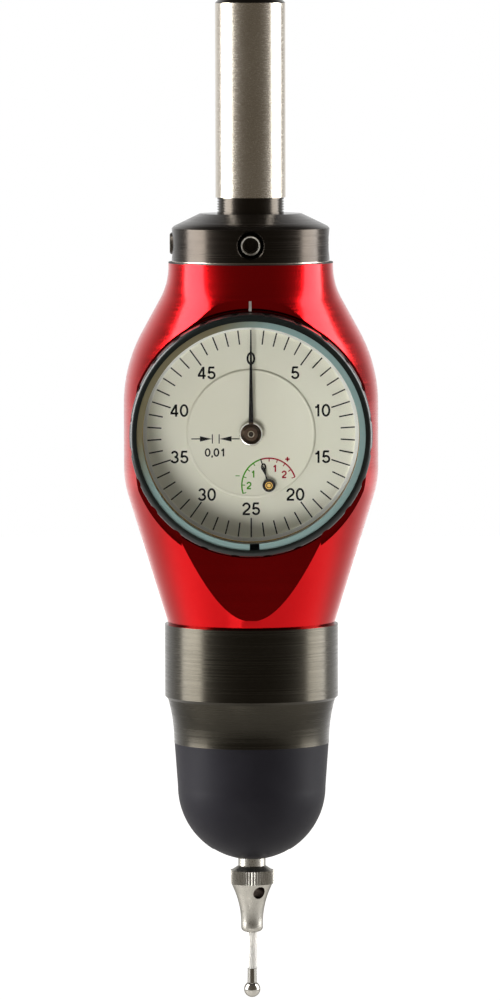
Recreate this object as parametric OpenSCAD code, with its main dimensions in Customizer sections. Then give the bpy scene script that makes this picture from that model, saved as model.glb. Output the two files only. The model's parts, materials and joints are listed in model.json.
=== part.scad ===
// 3D edge finder: a dial probe held by its ground shank, with a swivelling ball stylus below.
// Z points up the shank, the dial faces -Y, and Z = 0 is the lower end of the ground shank.

/* [Shank] */
// Diameter of the ground shank
shank_d = 12; // [10:0.5:16]
// Length of the ground shank
shank_len = 34; // [20:1:60]
// Chamfer on the end of the shank
shank_chamfer = 0.8; // [0.2:0.1:1.5]
// Diameter of the black neck under the ground part
neck_d = 11.4; // [10.4:0.1:15]
// Height of the black neck
neck_h = 2.75; // [1.5:0.25:6]
// Number of turned grooves in the neck
neck_grooves = 5; // [0:1:8]
// Depth of each groove
groove_depth = 0.22; // [0.05:0.01:0.4]
// Diameter of the stub that is pressed into the collar
stub_d = 10; // [8.5:0.1:10.3]

/* [Collar] */
// Outer diameter of the collar
collar_d = 27; // [24:0.5:34]
// Diameter of the collar's flat top
collar_top_d = 17.5; // [13:0.5:22]
// Height of the sloping shoulder
shoulder_h = 2.3; // [1:0.1:4]
// Height of the straight side below the shoulder
collar_side_h = 5.95; // [5:0.05:9]
// Thickness of the collar's top wall
collar_wall = 3.2; // [2:0.1:4]
// Diameter of the hollow under the collar
collar_bore_d = 20.4; // [18:0.2:22]
// Thickness of the black seat ring under the collar
seat_ring_h = 0.2; // [0.15:0.05:1]
// Radius on the lower edge of the shoulder
collar_edge_r = 0.4; // [0.1:0.1:1]

/* [Adjusting screws] */
// Thread diameter of the four adjusting screws
adjust_d = 4; // [3:0.5:5]
// Length of each adjusting screw
adjust_len = 5; // [4:0.25:6]
// Hexagon key size
adjust_key = 2; // [1.5:0.5:2.5]
// Depth of the hexagon socket
adjust_key_depth = 2; // [1:0.25:2.5]
// Height of the screws below the collar's shoulder
adjust_drop = 2.8; // [2.3:0.1:4]
// Countersink width around each tapped hole
adjust_sink = 0.25; // [0.1:0.05:0.6]

/* [Clamp screw] */
// Thread diameter of the central clamp screw
clamp_d = 5; // [4:0.5:6]
// Head diameter of the clamp screw
clamp_head_d = 8.5; // [7:0.5:9]
// Head height of the clamp screw
clamp_head_h = 4.6; // [3:0.2:5]
// Thickness of the washer under the head
clamp_washer_h = 1; // [0.5:0.1:1.5]
// Depth of the tapped hole in the shank
clamp_hole_depth = 9; // [6:0.5:14]

/* [Housing] */
// Diameter of the housing where it meets the collar
body_top_d = 28.2; // [27:0.1:34]
// Largest diameter of the housing
body_max_d = 43.6; // [43:0.1:50]
// Diameter of the housing where it meets the steel ring
body_end_d = 29.45; // [28:0.05:34]
// Height of the housing without its spigot
body_h = 61.9; // [60:0.05:75]
// Slope of the upper cone from the vertical
upper_slope = 28.7; // [24:0.1:34]
// Slope of the lower cone from the vertical
lower_slope = 17.15; // [14:0.05:19]
// Hollow blend radius below the collar
upper_hollow_r = 11.4; // [8:0.1:16]
// Blend radius from the upper cone to the belly
upper_round_r = 25.7; // [16:0.1:30]
// Blend radius from the belly to the lower cone
lower_round_r = 17; // [8:0.5:24]
// Height of the straight top rim
top_rim_h = 0.55; // [0.2:0.05:2]
// Height of the straight bottom rim
end_rim_h = 1.6; // [0.5:0.1:3]
// Radius of the spigot that the adjusting screws press on
spigot_r = 8.2; // [7:0.1:8.4]
// Height of the spigot above the housing's top
spigot_h = 4.85; // [3.5:0.05:5]
// Thickness of the web under the spigot
web_h = 2.55; // [2:0.05:4]
// Radius of the middle cavity
cavity_r = 8.5; // [8:0.1:9]
// Distance of the milled front flat from the axis
flat_d = 14.7; // [14:0.1:16]
// Radius of the round upper end of the front flat, about the dial's centre
flat_end_r = 22.6; // [21.6:0.1:24]

/* [Dial place] */
// Depth of the dial's centre below the housing's top
dial_drop = 28.4; // [27:0.1:32]
// Clearance of the bezel in its recess
bezel_gap = 0.35; // [0.2:0.05:0.8]
// Distance of the recess floor from the axis
recess_floor_d = 9.5; // [8.5:0.1:11]
// Chamfer on the edge of the recess in the flat
recess_chamfer = 0.35; // [0.1:0.05:0.8]
// Downward shift of the finger relief beside the bezel
relief_shift = 1.9; // [0.5:0.1:2.5]
// Half width of the bridge left between the two finger reliefs
relief_bridge = 11.8; // [9:0.1:14]

/* [Dial case] */
// Step from the bezel's outer radius in to the dial case
case_inset = 0.5; // [0.3:0.05:1.5]
// Wall of the dial case
case_wall = 2; // [1.7:0.1:2.2]
// Distance of the back of the case from the axis
case_back_d = 4.6; // [4.4:0.1:6]
// Thickness of the case floor
case_floor = 1.2; // [0.8:0.1:1.6]
// Distance of the case shoulder from the axis
case_shoulder_d = 12.4; // [11.8:0.1:12.6]
// Wall of the bezel round the rim that it turns on
bezel_wall = 1.6; // [1.3:0.05:1.8]
// Height of that rim above the shoulder
rim_h = 1.8; // [1.4:0.1:2]
// Wire radius of the ring that keeps the bezel on the case
wire_r = 0.25; // [0.2:0.05:0.3]
// Distance of the case screws from the case's outer wall
case_screw_inset = 4.4; // [4.2:0.05:4.6]
// Radius of the case screws
case_screw_r = 1; // [0.7:0.1:1]
// Length of the case screws in the housing
case_screw_len = 3.2; // [2:0.1:4]

/* [Bezel] */
// Outer radius of the bezel
bezel_r = 20.5; // [20:0.1:21]
// Space between the large hand and the crystal
glass_gap = 2.66; // [1:0.02:4]
// Width of the ledge that the crystal rests on
crystal_ledge_w = 0.9; // [0.6:0.05:1.5]
// Width of the bezel's front face round the crystal seat
bezel_face_w = 1.2; // [0.9:0.05:1.5]
// How far the bezel's front stands before the snap ring
bezel_lip_h = 0.28; // [0.1:0.02:0.8]
// Rounding of the bezel's front edge
bezel_round = 0.9; // [0.3:0.1:1.1]
// Number of shallow grip flutes round the bezel
bezel_flutes = 24; // [0:1:48]
// Radius of each grip flute
flute_r = 1.6; // [0.8:0.1:3]
// Depth of each grip flute
flute_depth = 0.22; // [0.05:0.01:0.4]
// Thickness of the crystal
crystal_h = 1.5; // [1:0.1:2]
// Width of the snap ring that holds the crystal
snap_ring_w = 1.2; // [0.8:0.05:1.5]
// Thickness of the snap ring
snap_ring_h = 0.72; // [0.4:0.02:0.8]
// Width of the gap in the snap ring
snap_ring_gap = 1.7; // [0.8:0.1:3]
// Turn of that gap from the bottom, to the right
snap_ring_turn = 1.7; // [-20:0.1:20]

/* [Dial and hands] */
// Distance of the outer dial's face from the axis
dial_face_d = 14.85; // [14.7:0.05:15]
// Thickness of both dials
dial_h = 0.4; // [0.3:0.05:0.5]
// Radius of the fixed inner dial
inner_dial_r = 10.75; // [10:0.05:11]
// Height of the inner dial above the outer one
dial_step = 0.25; // [0.1:0.05:0.4]
// Width of the raised bright rim of the outer dial
dial_rim_w = 0.7; // [0.3:0.05:0.8]
// How far the outer dial reaches under the bezel
dial_lip_w = 0.45; // [0.3:0.05:0.5]
// Height of the raised rim
dial_rim_h = 0.35; // [0.2:0.05:0.4]
// Length of the large hand from its centre
hand_len = 17.6; // [15:0.1:17.7]
// Width of the large hand at its hub
hand_base_w = 0.85; // [0.5:0.05:1.2]
// Width of the large hand at its tip
hand_tip_w = 0.2; // [0.15:0.05:0.4]
// Thickness of both hands
hand_h = 0.16; // [0.1:0.02:0.3]
// Height of the large hand above the dial
hand_lift = 1.3; // [1:0.1:2]
// Radius of the turned hub of the large hand
hand_hub_r = 1.87; // [1.2:0.01:2.2]
// Length of the small hand
small_hand_len = 3.65; // [3:0.05:4]
// Radius of the small hand's hub
small_hub_r = 1.1; // [0.8:0.05:1.3]
// Height of the small hand above the inner dial
small_lift = 0.45; // [0.3:0.05:0.6]
// Small dial centre to the right of the dial's centre
counter_x = 3.02; // [2:0.01:4]
// Small dial centre below the dial's centre
counter_drop = 8.75; // [8:0.01:8.9]
// Angle of the small dial's zero, clockwise from the top
counter_zero = -17.5; // [-30:0.5:0]

/* [Movement] */
// Pitch of the rack teeth, which is a tenth of a turn of the first pinion
rack_pitch = 0.5; // [0.45:0.01:0.55]
// Teeth on each pinion
pinion_teeth = 10; // [10:1:12]
// Teeth on the first wheel and on the take-up wheel
wheel_teeth = 100; // [90:10:120]
// Teeth on the counter wheel
counter_teeth = 20; // [20:2:24]
// Tooth size of the wheels and the centre pinion, as diameter per tooth
wheel_module = 0.12; // [0.11:0.005:0.125]
// Distance of the rack's pitch line from the spindle's axis
rack_line = 1.5; // [1.3:0.05:1.6]
// Radius of the movement plates
plate_r = 13.2; // [12.8:0.1:14]
// Thickness of the movement plates
plate_h = 1; // [0.8:0.1:1.2]
// Space between the movement plates
plate_space = 5.6; // [5:0.1:6]
// Radius of the pillars between the plates
pillar_r = 1.1; // [0.8:0.1:1.3]
// Radius of the circle that the pillars stand on
pillar_ring_r = 11.5; // [11:0.1:12]
// Thickness of the wheels
wheel_h = 0.6; // [0.4:0.05:0.8]
// Length of the rack pinion to each side of the spindle's axis
rack_face = 1; // [0.8:0.1:1.3]
// Radius of the first arbor
arbor_r = 0.45; // [0.3:0.05:0.6]
// Turns of the hair spring
hair_turns = 4; // [2:1:6]
// Outer radius of the hair spring
hair_r = 4.8; // [4:0.1:5]
// Thickness of the hair spring's ribbon
hair_band = 0.12; // [0.08:0.01:0.2]
// Radius of the thin pivots
pivot_r = 0.3; // [0.2:0.05:0.4]

/* [Spindle] */
// Radius of the measuring spindle
spindle_r = 2; // [1.8:0.1:2.2]
// Travel of the stylus into the housing
travel = 2.5; // [1:0.1:2.5]
// Length of each guide bush
bush_h = 4; // [2.5:0.5:6]
// Depth of the upper bush below the housing's top
upper_bush_drop = 14.4; // [13:0.1:16]
// Depth of the lower bush below the housing's top
lower_bush_drop = 47; // [44:0.5:48]
// Wire radius of the return spring
spring_wire = 0.45; // [0.3:0.05:0.6]
// Middle radius of the return spring
spring_r = 5.6; // [4:0.1:6.5]
// Turns of the return spring
spring_turns = 5; // [3:1:8]

/* [Steel ring] */
// Outer diameter of the steel ring
ring_d = 29.7; // [29:0.1:34]
// Height of the steel ring's straight side
ring_side_h = 12.4; // [8:0.1:16]
// Chamfer under the straight side
ring_chamfer = 0.5; // [0.2:0.1:1]
// Diameter where the hollow taper starts
cove_top_d = 28.7; // [27:0.1:29.4]
// Diameter where the hollow taper ends
cove_end_d = 26.6; // [26:0.1:28]
// Height of the hollow taper
cove_h = 7.6; // [5:0.1:10]
// Radius of the bore that guides the sleeve
guide_r = 10; // [9:0.1:10.4]
// Radius of the upper spigot in the housing
ring_spigot_r = 12.95; // [12.5:0.05:13.2]
// Height of the upper spigot
ring_spigot_h = 5.8; // [4:0.1:8]
// Radius of the seal ring's section, between the upper spigot and the housing
seal_r = 0.4; // [0.2:0.05:0.6]
// Radius of the counterbore over the guide
ring_counter_r = 11.6; // [11:0.1:11.8]
// Depth of the counterbore below the top of the straight side
ring_counter_depth = 4.45; // [3:0.05:6]
// Length of the lower spigot inside the boot
boot_spigot_h = 5.2; // [3:0.1:5.6]
// Radius of the lower spigot
boot_spigot_r = 12; // [11.4:0.1:12]

/* [Boot] */
// Radius of the rubber boot where it meets the steel ring
boot_top_r = 13.25; // [13:0.05:14]
// Radius of the boot's round nose
boot_r = 12.7; // [12.4:0.05:13.2]
// Height of the boot's straight part
boot_side_h = 7.6; // [6:0.1:9]
// Wall of the boot
boot_wall = 1.15; // [0.8:0.05:1.25]

/* [Stylus] */
// Outer radius of the sliding sleeve
sleeve_r = 9.97; // [8.9:0.01:10.3]
// Inner radius of the sliding sleeve
sleeve_bore_r = 8.6; // [8:0.05:8.9]
// Radius of the sleeve's flange
flange_r = 11.45; // [10.6:0.05:11.6]
// Thickness of the sleeve's flange
flange_h = 2; // [1.5:0.1:3]
// Radius of the pin that keeps the sleeve from turning
guide_pin_r = 0.75; // [0.5:0.05:0.9]
// Length of the sleeve below the pivot
sleeve_tail = 3.5; // [2.8:0.1:3.5]
// Radius of the gimbal ring
gimbal_r = 8.1; // [7.8:0.05:8.2]
// Inner radius of the gimbal ring
gimbal_bore_r = 5.6; // [5.3:0.1:5.8]
// Height of the gimbal ring
gimbal_h = 5; // [4:0.1:5]
// Radius of the gimbal pins
gimbal_pin_r = 0.95; // [0.7:0.05:1.1]
// Radius of the stylus hub
hub_r = 4.8; // [4.4:0.1:5]
// Height of the pressure face above the pivot
face_lift = 5; // [4:0.1:6]
// Radius of the pressure face
face_r = 2.8; // [2:0.1:2.8]
// Radius of the stylus shaft
shaft_r = 2.35; // [2:0.05:2.6]
// Depth of the shaft's lower end below the pivot
shaft_drop = 13.7; // [13:0.1:16]
// Outer radius of the knurled grip
knurl_r = 3.8; // [3:0.05:4.4]
// Height of the flare over the grip
knurl_flare_h = 0.8; // [0.4:0.05:1.2]
// Height of the knurled band
knurl_h = 2.3; // [1.5:0.1:3]
// Ridges in the straight knurl
knurl_teeth = 48; // [24:2:60]
// Depth of the knurl
knurl_depth = 0.2; // [0.08:0.01:0.25]
// Chamfer under the knurled band
knurl_chamfer_h = 0.6; // [0.3:0.05:1]
// Radius of the holder just under the grip
taper_top_r = 3.28; // [2.8:0.02:3.6]
// Height of the holder's hollow taper
taper_h = 6.3; // [4:0.1:7]
// Radius of the holder's lower end
taper_end_r = 1.88; // [1.4:0.02:2.4]
// Height of the straight lower end
holder_end_h = 1.45; // [1:0.05:4]
// Radius of the cross hole for a tommy bar
cross_hole_r = 1.05; // [0.6:0.05:1.2]
// Depth of the cross hole below the knurled band
cross_hole_drop = 1.4; // [1.2:0.1:2.6]
// Turn of the cross hole from the front
cross_hole_turn = 26; // [0:1:90]
// Radius of the ceramic stem
stem_r = 0.885; // [0.6:0.005:1.2]
// Length of the stem that shows
stem_len = 6.4; // [4:0.1:20]
// Length of the stem inside the holder
stem_seat = 3.6; // [2:0.1:4.4]
// Radius of the tip's neck
tip_neck_r = 0.79; // [0.4:0.01:0.85]
// Length of the tip's neck, to the ball's centre
tip_neck_len = 3.6; // [2:0.1:5]
// Diameter of the ball
ball_d = 2.8; // [1.7:0.1:6]

/* [Hidden] */
$fn = 72;

// Overrun of every cut, slip between fixed pieces, and running clearance
over = 0.5;
slip = 0.02;
run = 0.05;
seat_gap = 0.3;

// Levels down the axis
collar_top = -neck_h;
collar_edge = collar_top - shoulder_h;
collar_bottom = collar_edge - collar_side_h;
collar_ceiling = collar_top - collar_wall;
body_top = collar_bottom - seat_ring_h;
body_bottom = body_top - body_h;
adjust_z = collar_edge - adjust_drop;
web_bottom = body_top - web_h;
dial_z = body_top - dial_drop;
ring_bottom = body_bottom - ring_side_h;
ring_shelf = body_bottom - ring_counter_depth;
cove_start = ring_bottom - ring_chamfer;
boot_top = cove_start - cove_h;
ring_end = boot_top - boot_spigot_h;
pivot_z = boot_top - boot_side_h;
sleeve_top = ring_shelf + flange_h;
sleeve_bottom = pivot_z - sleeve_tail;
foot_face = pivot_z + face_lift + seat_gap;
shaft_end = pivot_z - shaft_drop;
knurl_top = shaft_end - knurl_flare_h;
knurl_bottom = knurl_top - knurl_h;
taper_top = knurl_bottom - knurl_chamfer_h;
taper_end = taper_top - taper_h;
holder_end = taper_end - holder_end_h;
stem_end = holder_end - stem_len;
ball_z = stem_end - tip_neck_len;
guide_pin_z = (boot_top + ring_end) / 2;
guide_pin_from = (sleeve_bore_r * 3 + sleeve_r) / 4;

// Levels out from the axis to the front of the dial
recess_r = bezel_r + bezel_gap;
case_r = bezel_r - case_inset;
rim_r = bezel_r - bezel_wall;
case_screw_ring = case_r - case_screw_inset;
crystal_seat_r = bezel_r - bezel_face_w;
bezel_bore_r = crystal_seat_r - crystal_ledge_w;
case_rim_d = case_shoulder_d + rim_h;
plate_back_d = case_back_d + case_floor;
plate_front_d = plate_back_d + plate_h + plate_space;
inner_face_d = dial_face_d + dial_step;
bezel_back_d = case_shoulder_d + 4 * run;
dial_seat_d = dial_face_d - dial_h - 2 * run;
hand_d = dial_face_d + hand_lift;
seat_d = hand_d + 4 * hand_h + glass_gap;
snap_d = seat_d + crystal_h + run;
bezel_front_d = snap_d + snap_ring_h + bezel_lip_h;
small_hand_d = inner_face_d + small_lift;
wheel_d = plate_back_d + plate_h + 2 * wheel_h;
counter_d = plate_front_d - 3 * wheel_h;
hair_d = wheel_d + 3 * wheel_h;
dial_ring_r = bezel_bore_r + dial_lip_w;
wire_d = (bezel_back_d + case_rim_d) / 2;
wire_ring_r = rim_r + wire_r / 2;

// Gear places seen from the front, with the centre arbor at zero
rack_module = rack_pitch / PI;
rack_pinion_r = rack_module * pinion_teeth / 2;
centre_gap = wheel_module * (wheel_teeth + pinion_teeth) / 2;
first_x = -rack_line - rack_pinion_r;
first = [first_x, -sqrt(centre_gap * centre_gap - first_x * first_x)];
takeup = -first;
counter = [counter_x, -counter_drop];
counter_gap = norm(counter - first);
counter_module = 2 * counter_gap / (counter_teeth + pinion_teeth);
counter_wheel_r = counter_module * (counter_teeth / 2 + 1);
pillar_angles = [5, 125, 185];
case_screw_angles = [30, 150, 210, 330];

// Angle of the line from one gear centre to another
function bearing(from, to) = atan2(to[1] - from[1], to[0] - from[0]);

// Points of an arc about a centre, from angle a to angle b
function arc(centre, r, a, b, steps) =
  [for (i = [0:steps]) centre + r * [cos(a + (b - a) * i / steps), sin(a + (b - a) * i / steps)]];

// Half the angle that an involute tooth fills at radius r
function involute(angle) = tan(angle) * 180 / PI - angle;
function tooth_half(r, pitch_r, teeth) =
  84 / teeth + involute(20) - involute(acos(min(1, pitch_r * cos(20) / r)));

// Outline of a spur gear with one tooth centred on angle phase
function spur_points(teeth, size, phase) =
  let (pitch_r = size * teeth / 2,
       radii = [pitch_r - 1.15 * size, pitch_r, pitch_r + 0.8 * size])
  [for (t = [0:teeth - 1], side = [-1, 1], k = [0:2])
    let (r = radii[side < 0 ? k : 2 - k],
         angle = phase + 360 * t / teeth + side * tooth_half(r, pitch_r, teeth))
    r * [cos(angle), sin(angle)]];

// Stands what follows on the dial's axis: its z runs out to the front and its y runs up
module at_dial() {
  translate([0, 0, dial_z]) rotate([90, 0, 0]) children();
}

// A plain disc or tube standing on the dial's axis between two distances from the shank's axis
module disc_at(place, r, from_d, to_d) {
  translate([place[0], place[1], from_d]) cylinder(r = r, h = to_d - from_d);
}

module tube(outer_r, inner_r, low, high) {
  difference() {
    translate([0, 0, low]) cylinder(r = outer_r, h = high - low);
    translate([0, 0, low - over]) cylinder(r = inner_r, h = high - low + 2 * over);
  }
}

// A coil of round wire about the z axis, swept as one closed tube
module coil(middle_r, wire_r, low, high, turns) {
  rings = turns * 12;
  sides = 6;
  lift = high - low - 2 * wire_r;
  points = [for (i = [0:rings], j = [0:sides - 1])
    let (turn = 360 * turns * i / rings, a = 360 * j / sides, r = middle_r + wire_r * cos(a))
    [r * cos(turn), r * sin(turn), low + wire_r + lift * i / rings + wire_r * sin(a)]];
  skin = [for (i = [0:rings - 1], j = [0:sides - 1])
    let (k = (j + 1) % sides, a = i * sides, b = (i + 1) * sides)
    each [[a + j, b + j, b + k], [a + j, b + k, a + k]]];
  start = [for (j = [1:sides - 2]) [0, j, j + 1]];
  finish = [for (j = [1:sides - 2]) [rings * sides, rings * sides + j + 1, rings * sides + j]];
  polyhedron(points, concat(skin, start, finish));
}

module shank() {
  pitch = neck_h / (neck_grooves + 1);
  color("silver") difference() {
    union() {
      cylinder(d = shank_d, h = shank_len - shank_chamfer);
      translate([0, 0, shank_len - shank_chamfer])
        cylinder(d1 = shank_d, d2 = shank_d - 2 * shank_chamfer, h = shank_chamfer);
      translate([0, 0, collar_top]) cylinder(d = neck_d, h = neck_h);
      translate([0, 0, collar_ceiling]) cylinder(d = stub_d, h = collar_wall);
    }
    for (i = [1:1:neck_grooves])
      translate([0, 0, collar_top + (i - 0.25) * pitch])
        tube(neck_d, neck_d / 2 - groove_depth, 0, pitch / 2);
    translate([0, 0, collar_ceiling - over])
      cylinder(r = clamp_d / 2 + run, h = clamp_hole_depth + over);
  }
}

module collar_profile() {
  outer = collar_d / 2;
  inner = collar_bore_d / 2;
  hole = stub_d / 2 + slip;
  polygon([[hole, collar_top], [collar_top_d / 2, collar_top],
    [outer - collar_edge_r, collar_edge + collar_edge_r / 2], [outer, collar_edge - collar_edge_r / 2],
    [outer, collar_bottom], [inner, collar_bottom], [inner, collar_ceiling], [hole, collar_ceiling]]);
}

// Places a child on each adjusting screw's axis, with z pointing outwards
module on_screw(angle) {
  translate([0, 0, adjust_z]) rotate([0, 0, angle]) rotate([0, 90, 0]) children();
}

module collar() {
  hole_r = adjust_d / 2 + run;
  color("#2b2a28") difference() {
    rotate_extrude() collar_profile();
    for (angle = [0:90:270]) on_screw(angle) {
      translate([0, 0, spigot_r - over]) cylinder(r = hole_r, h = collar_d / 2);
      translate([0, 0, collar_d / 2 - 2 * adjust_sink])
        cylinder(r1 = hole_r, r2 = hole_r + 2 * adjust_sink + over, h = 2 * adjust_sink + over);
    }
  }
}

module seat_ring() {
  color("#151515") tube(body_top_d / 2 - slip, collar_bore_d / 2, body_top, collar_bottom);
}

// One adjusting screw with its hexagon socket, whose inner end stands at radius start
module adjusting_screw(angle, start) {
  key_r = adjust_key / sqrt(3);
  cone_h = adjust_d / 8;
  color("#1c1c1c") on_screw(angle) difference() {
    union() {
      translate([0, 0, start]) cylinder(d1 = adjust_d - 2 * cone_h, d2 = adjust_d, h = cone_h);
      translate([0, 0, start + cone_h]) cylinder(d = adjust_d, h = adjust_len - 2 * cone_h);
      translate([0, 0, start + adjust_len - cone_h])
        cylinder(d1 = adjust_d, d2 = adjust_d - cone_h, h = cone_h);
    }
    translate([0, 0, start + adjust_len - adjust_key_depth])
      cylinder(r = key_r, h = adjust_key_depth + over, $fn = 6);
  }
}

module screw_front() adjusting_screw(-90, spigot_r + run);
module screw_back() adjusting_screw(90, spigot_r + run);
module screw_left() adjusting_screw(180, spigot_r + run + adjust_d / 8);
module screw_right() adjusting_screw(0, spigot_r + run);

module clamp_screw() {
  head_top = web_bottom - clamp_washer_h;
  length = head_top - collar_ceiling;
  socket_r = clamp_d / 2 / cos(30);
  color("#2a2a2a") difference() {
    union() {
      translate([0, 0, head_top - clamp_head_h]) cylinder(d = clamp_head_d, h = clamp_head_h);
      translate([0, 0, head_top]) cylinder(d = clamp_d, h = clamp_hole_depth - length - clamp_d / 4);
    }
    translate([0, 0, head_top - clamp_head_h - over])
      cylinder(r = socket_r, h = clamp_head_h / 2 + over, $fn = 6);
  }
}

module clamp_washer() {
  outer = clamp_head_d / 2 + clamp_washer_h;
  color("#8f8f8c") tube(outer, clamp_d / 2 + 2 * run, web_bottom - clamp_washer_h, web_bottom);
}

// Where the blends of the housing's outline begin and end
top_r = body_top_d / 2;
max_r = body_max_d / 2;
end_r = body_end_d / 2;
hollow_z = body_top - top_rim_h;
hollow_end_r = top_r + upper_hollow_r * (1 - cos(upper_slope));
hollow_end_z = hollow_z - upper_hollow_r * sin(upper_slope);
round_start_r = max_r - upper_round_r * (1 - cos(upper_slope));
round_start_z = hollow_end_z - (round_start_r - hollow_end_r) / tan(upper_slope);
belly_top_z = round_start_z - upper_round_r * sin(upper_slope);
end_rim_z = body_bottom + end_rim_h;
tail_start_r = max_r - lower_round_r * (1 - cos(lower_slope));
tail_start_z = end_rim_z + (tail_start_r - end_r) / tan(lower_slope);
belly_end_z = tail_start_z + lower_round_r * sin(lower_slope);

module housing_profile() {
  hollow_centre = [top_r + upper_hollow_r, hollow_z];
  round_centre = [max_r - upper_round_r, belly_top_z];
  tail_centre = [max_r - lower_round_r, belly_end_z];
  polygon(concat(
    [[0, body_bottom], [0, body_top], [top_r, body_top]],
    arc(hollow_centre, upper_hollow_r, 180, 180 + upper_slope, 24),
    arc(round_centre, upper_round_r, upper_slope, 0, 32),
    arc(tail_centre, lower_round_r, 0, -lower_slope, 20),
    [[end_r, end_rim_z], [end_r, body_bottom]]));
}

module housing() {
  front = body_max_d;
  color("#c00a12") difference() {
    union() {
      rotate_extrude($fn = 128) housing_profile();
      translate([0, 0, body_top - over]) cylinder(r = spigot_r, h = spigot_h + over);
    }
    translate([0, 0, web_bottom - over]) cylinder(r = clamp_d / 2 + 4 * run, h = body_top_d);
    translate([0, 0, body_bottom - over]) cylinder(r = cavity_r, h = web_bottom - body_bottom + over);
    translate([0, 0, body_bottom - over])
      cylinder(r = ring_spigot_r + run, h = ring_spigot_h + 2 * (seal_r + slip) + over);
    at_dial() {
      translate([0, 0, flat_d]) cylinder(r = flat_end_r, h = front);
      translate([-front / 2, -front * 2, flat_d]) cube([front, front * 2, front]);
      translate([0, 0, recess_floor_d]) cylinder(r = recess_r, h = front);
      translate([0, 0, flat_d - recess_chamfer])
        cylinder(r1 = recess_r, r2 = recess_r + recess_chamfer + over, h = recess_chamfer + over);
      translate([0, 0, case_back_d]) cylinder(r = case_r + run, h = front);
      difference() {
        translate([0, -relief_shift, recess_floor_d]) cylinder(r = recess_r, h = front);
        translate([-relief_bridge, -front, 0]) cube([2 * relief_bridge, 2 * front, 2 * front]);
      }
      for (angle = case_screw_angles)
        rotate([0, 0, angle]) translate([case_screw_ring, 0, case_back_d - case_screw_len])
          cylinder(r = case_screw_r + slip, h = case_screw_len + over);
    }
  }
}

module dial_case() {
  color("#26282a") at_dial() difference() {
    union() {
      disc_at([0, 0], case_r, case_back_d, case_shoulder_d);
      disc_at([0, 0], rim_r, case_shoulder_d - over, case_rim_d);
    }
    disc_at([0, 0], case_r - case_wall, plate_back_d, bezel_front_d);
    translate([0, 0, wire_d - wire_r - slip])
      tube(case_r, wire_ring_r - wire_r - slip, 0, 2 * (wire_r + slip));
    disc_at(first, rack_pinion_r + arbor_r, 0, bezel_front_d);
    for (angle = case_screw_angles) rotate([0, 0, angle])
      disc_at([case_screw_ring, 0], case_screw_r + run, 0, bezel_front_d);
  }
}

module case_screws() {
  color("#b5b5b0") at_dial() for (angle = case_screw_angles) rotate([0, 0, angle]) {
    disc_at([case_screw_ring, 0], case_screw_r, case_back_d - case_screw_len, plate_back_d);
    difference() {
      disc_at([case_screw_ring, 0], 2 * case_screw_r, plate_back_d, plate_back_d + case_screw_r);
      translate([case_screw_ring, 0, plate_back_d + case_screw_r]) cube(
        [4 * case_screw_r, case_screw_r / 2, case_screw_r], center = true);
    }
  }
}

// Plate with its pillar holes and the listed pivot holes, each [place, radius]
module movement_plate(from_d, holes) {
  difference() {
    disc_at([0, 0], plate_r, from_d, from_d + plate_h);
    for (angle = pillar_angles) rotate([0, 0, angle])
      disc_at([pillar_ring_r, 0], pillar_r / 2 + slip, from_d - over, from_d + plate_h + over);
    for (hole = holes) disc_at(hole[0], hole[1], from_d - over, from_d + plate_h + over);
  }
}

module back_plate() {
  color("#c9a54a") at_dial() movement_plate(plate_back_d,
    [[[0, 0], pivot_r + run], [first, arbor_r + run], [takeup, pivot_r + run]]);
}

module front_plate() {
  color("#c9a54a") at_dial() {
    movement_plate(plate_front_d, [[[0, 0], arbor_r + run],
      for (place = [first, takeup, counter]) [place, pivot_r + run]]);
    disc_at(takeup + [hair_r + hair_band + pivot_r + slip, 0], pivot_r, hair_d, plate_front_d);
  }
}

module pillars() {
  low = plate_back_d;
  color("#bfa15a") at_dial() for (angle = pillar_angles) rotate([0, 0, angle]) {
    disc_at([pillar_ring_r, 0], pillar_r / 2, low, plate_front_d + plate_h);
    disc_at([pillar_ring_r, 0], pillar_r, low + plate_h, plate_front_d);
    disc_at([pillar_ring_r, 0], pillar_r, plate_front_d + plate_h, plate_front_d + 1.5 * plate_h);
  }
}

// Small bridge behind the counter wheel, hung from the front plate
module counter_cock() {
  turn = 60;
  reach = counter_wheel_r + 1.5 * pillar_r;
  post = counter + reach * [cos(turn), sin(turn)];
  low = counter_d - 2.5 * wheel_h;
  color("#bfa15a") at_dial() difference() {
    union() {
      disc_at(counter, pillar_r, low, low + wheel_h);
      disc_at(post, pillar_r, low, plate_front_d);
      translate([counter[0], counter[1], low]) rotate([0, 0, turn])
        translate([0, -pillar_r / 2, 0]) cube([reach, pillar_r, wheel_h]);
    }
    disc_at(counter, pivot_r + run, low - over, low + wheel_h + over);
  }
}

module inner_dial() {
  low = inner_face_d - dial_h;
  color("#cfccb8") at_dial() {
    difference() {
      disc_at([0, 0], inner_dial_r, low, inner_face_d);
      disc_at([0, 0], 2 * arbor_r, low - over, inner_face_d + over);
      disc_at(counter, 2 * pivot_r, low - over, inner_face_d + over);
    }
    for (angle = [60, 180, 260]) rotate([0, 0, angle])
      disc_at([inner_dial_r * 0.8, 0], pillar_r / 2, plate_front_d + plate_h, low + dial_h / 2);
  }
}

module dial_ring() {
  low = dial_face_d - dial_h;
  color("#d6d3c0") at_dial() difference() {
    union() {
      disc_at([0, 0], dial_ring_r, low, dial_face_d);
      disc_at([0, 0], bezel_bore_r - run, low, dial_face_d + dial_rim_h);
    }
    disc_at([0, 0], inner_dial_r + 3 * run, low - over, dial_face_d + over);
    disc_at([0, 0], bezel_bore_r - run - dial_rim_w, dial_face_d, bezel_front_d);
  }
}

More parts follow.
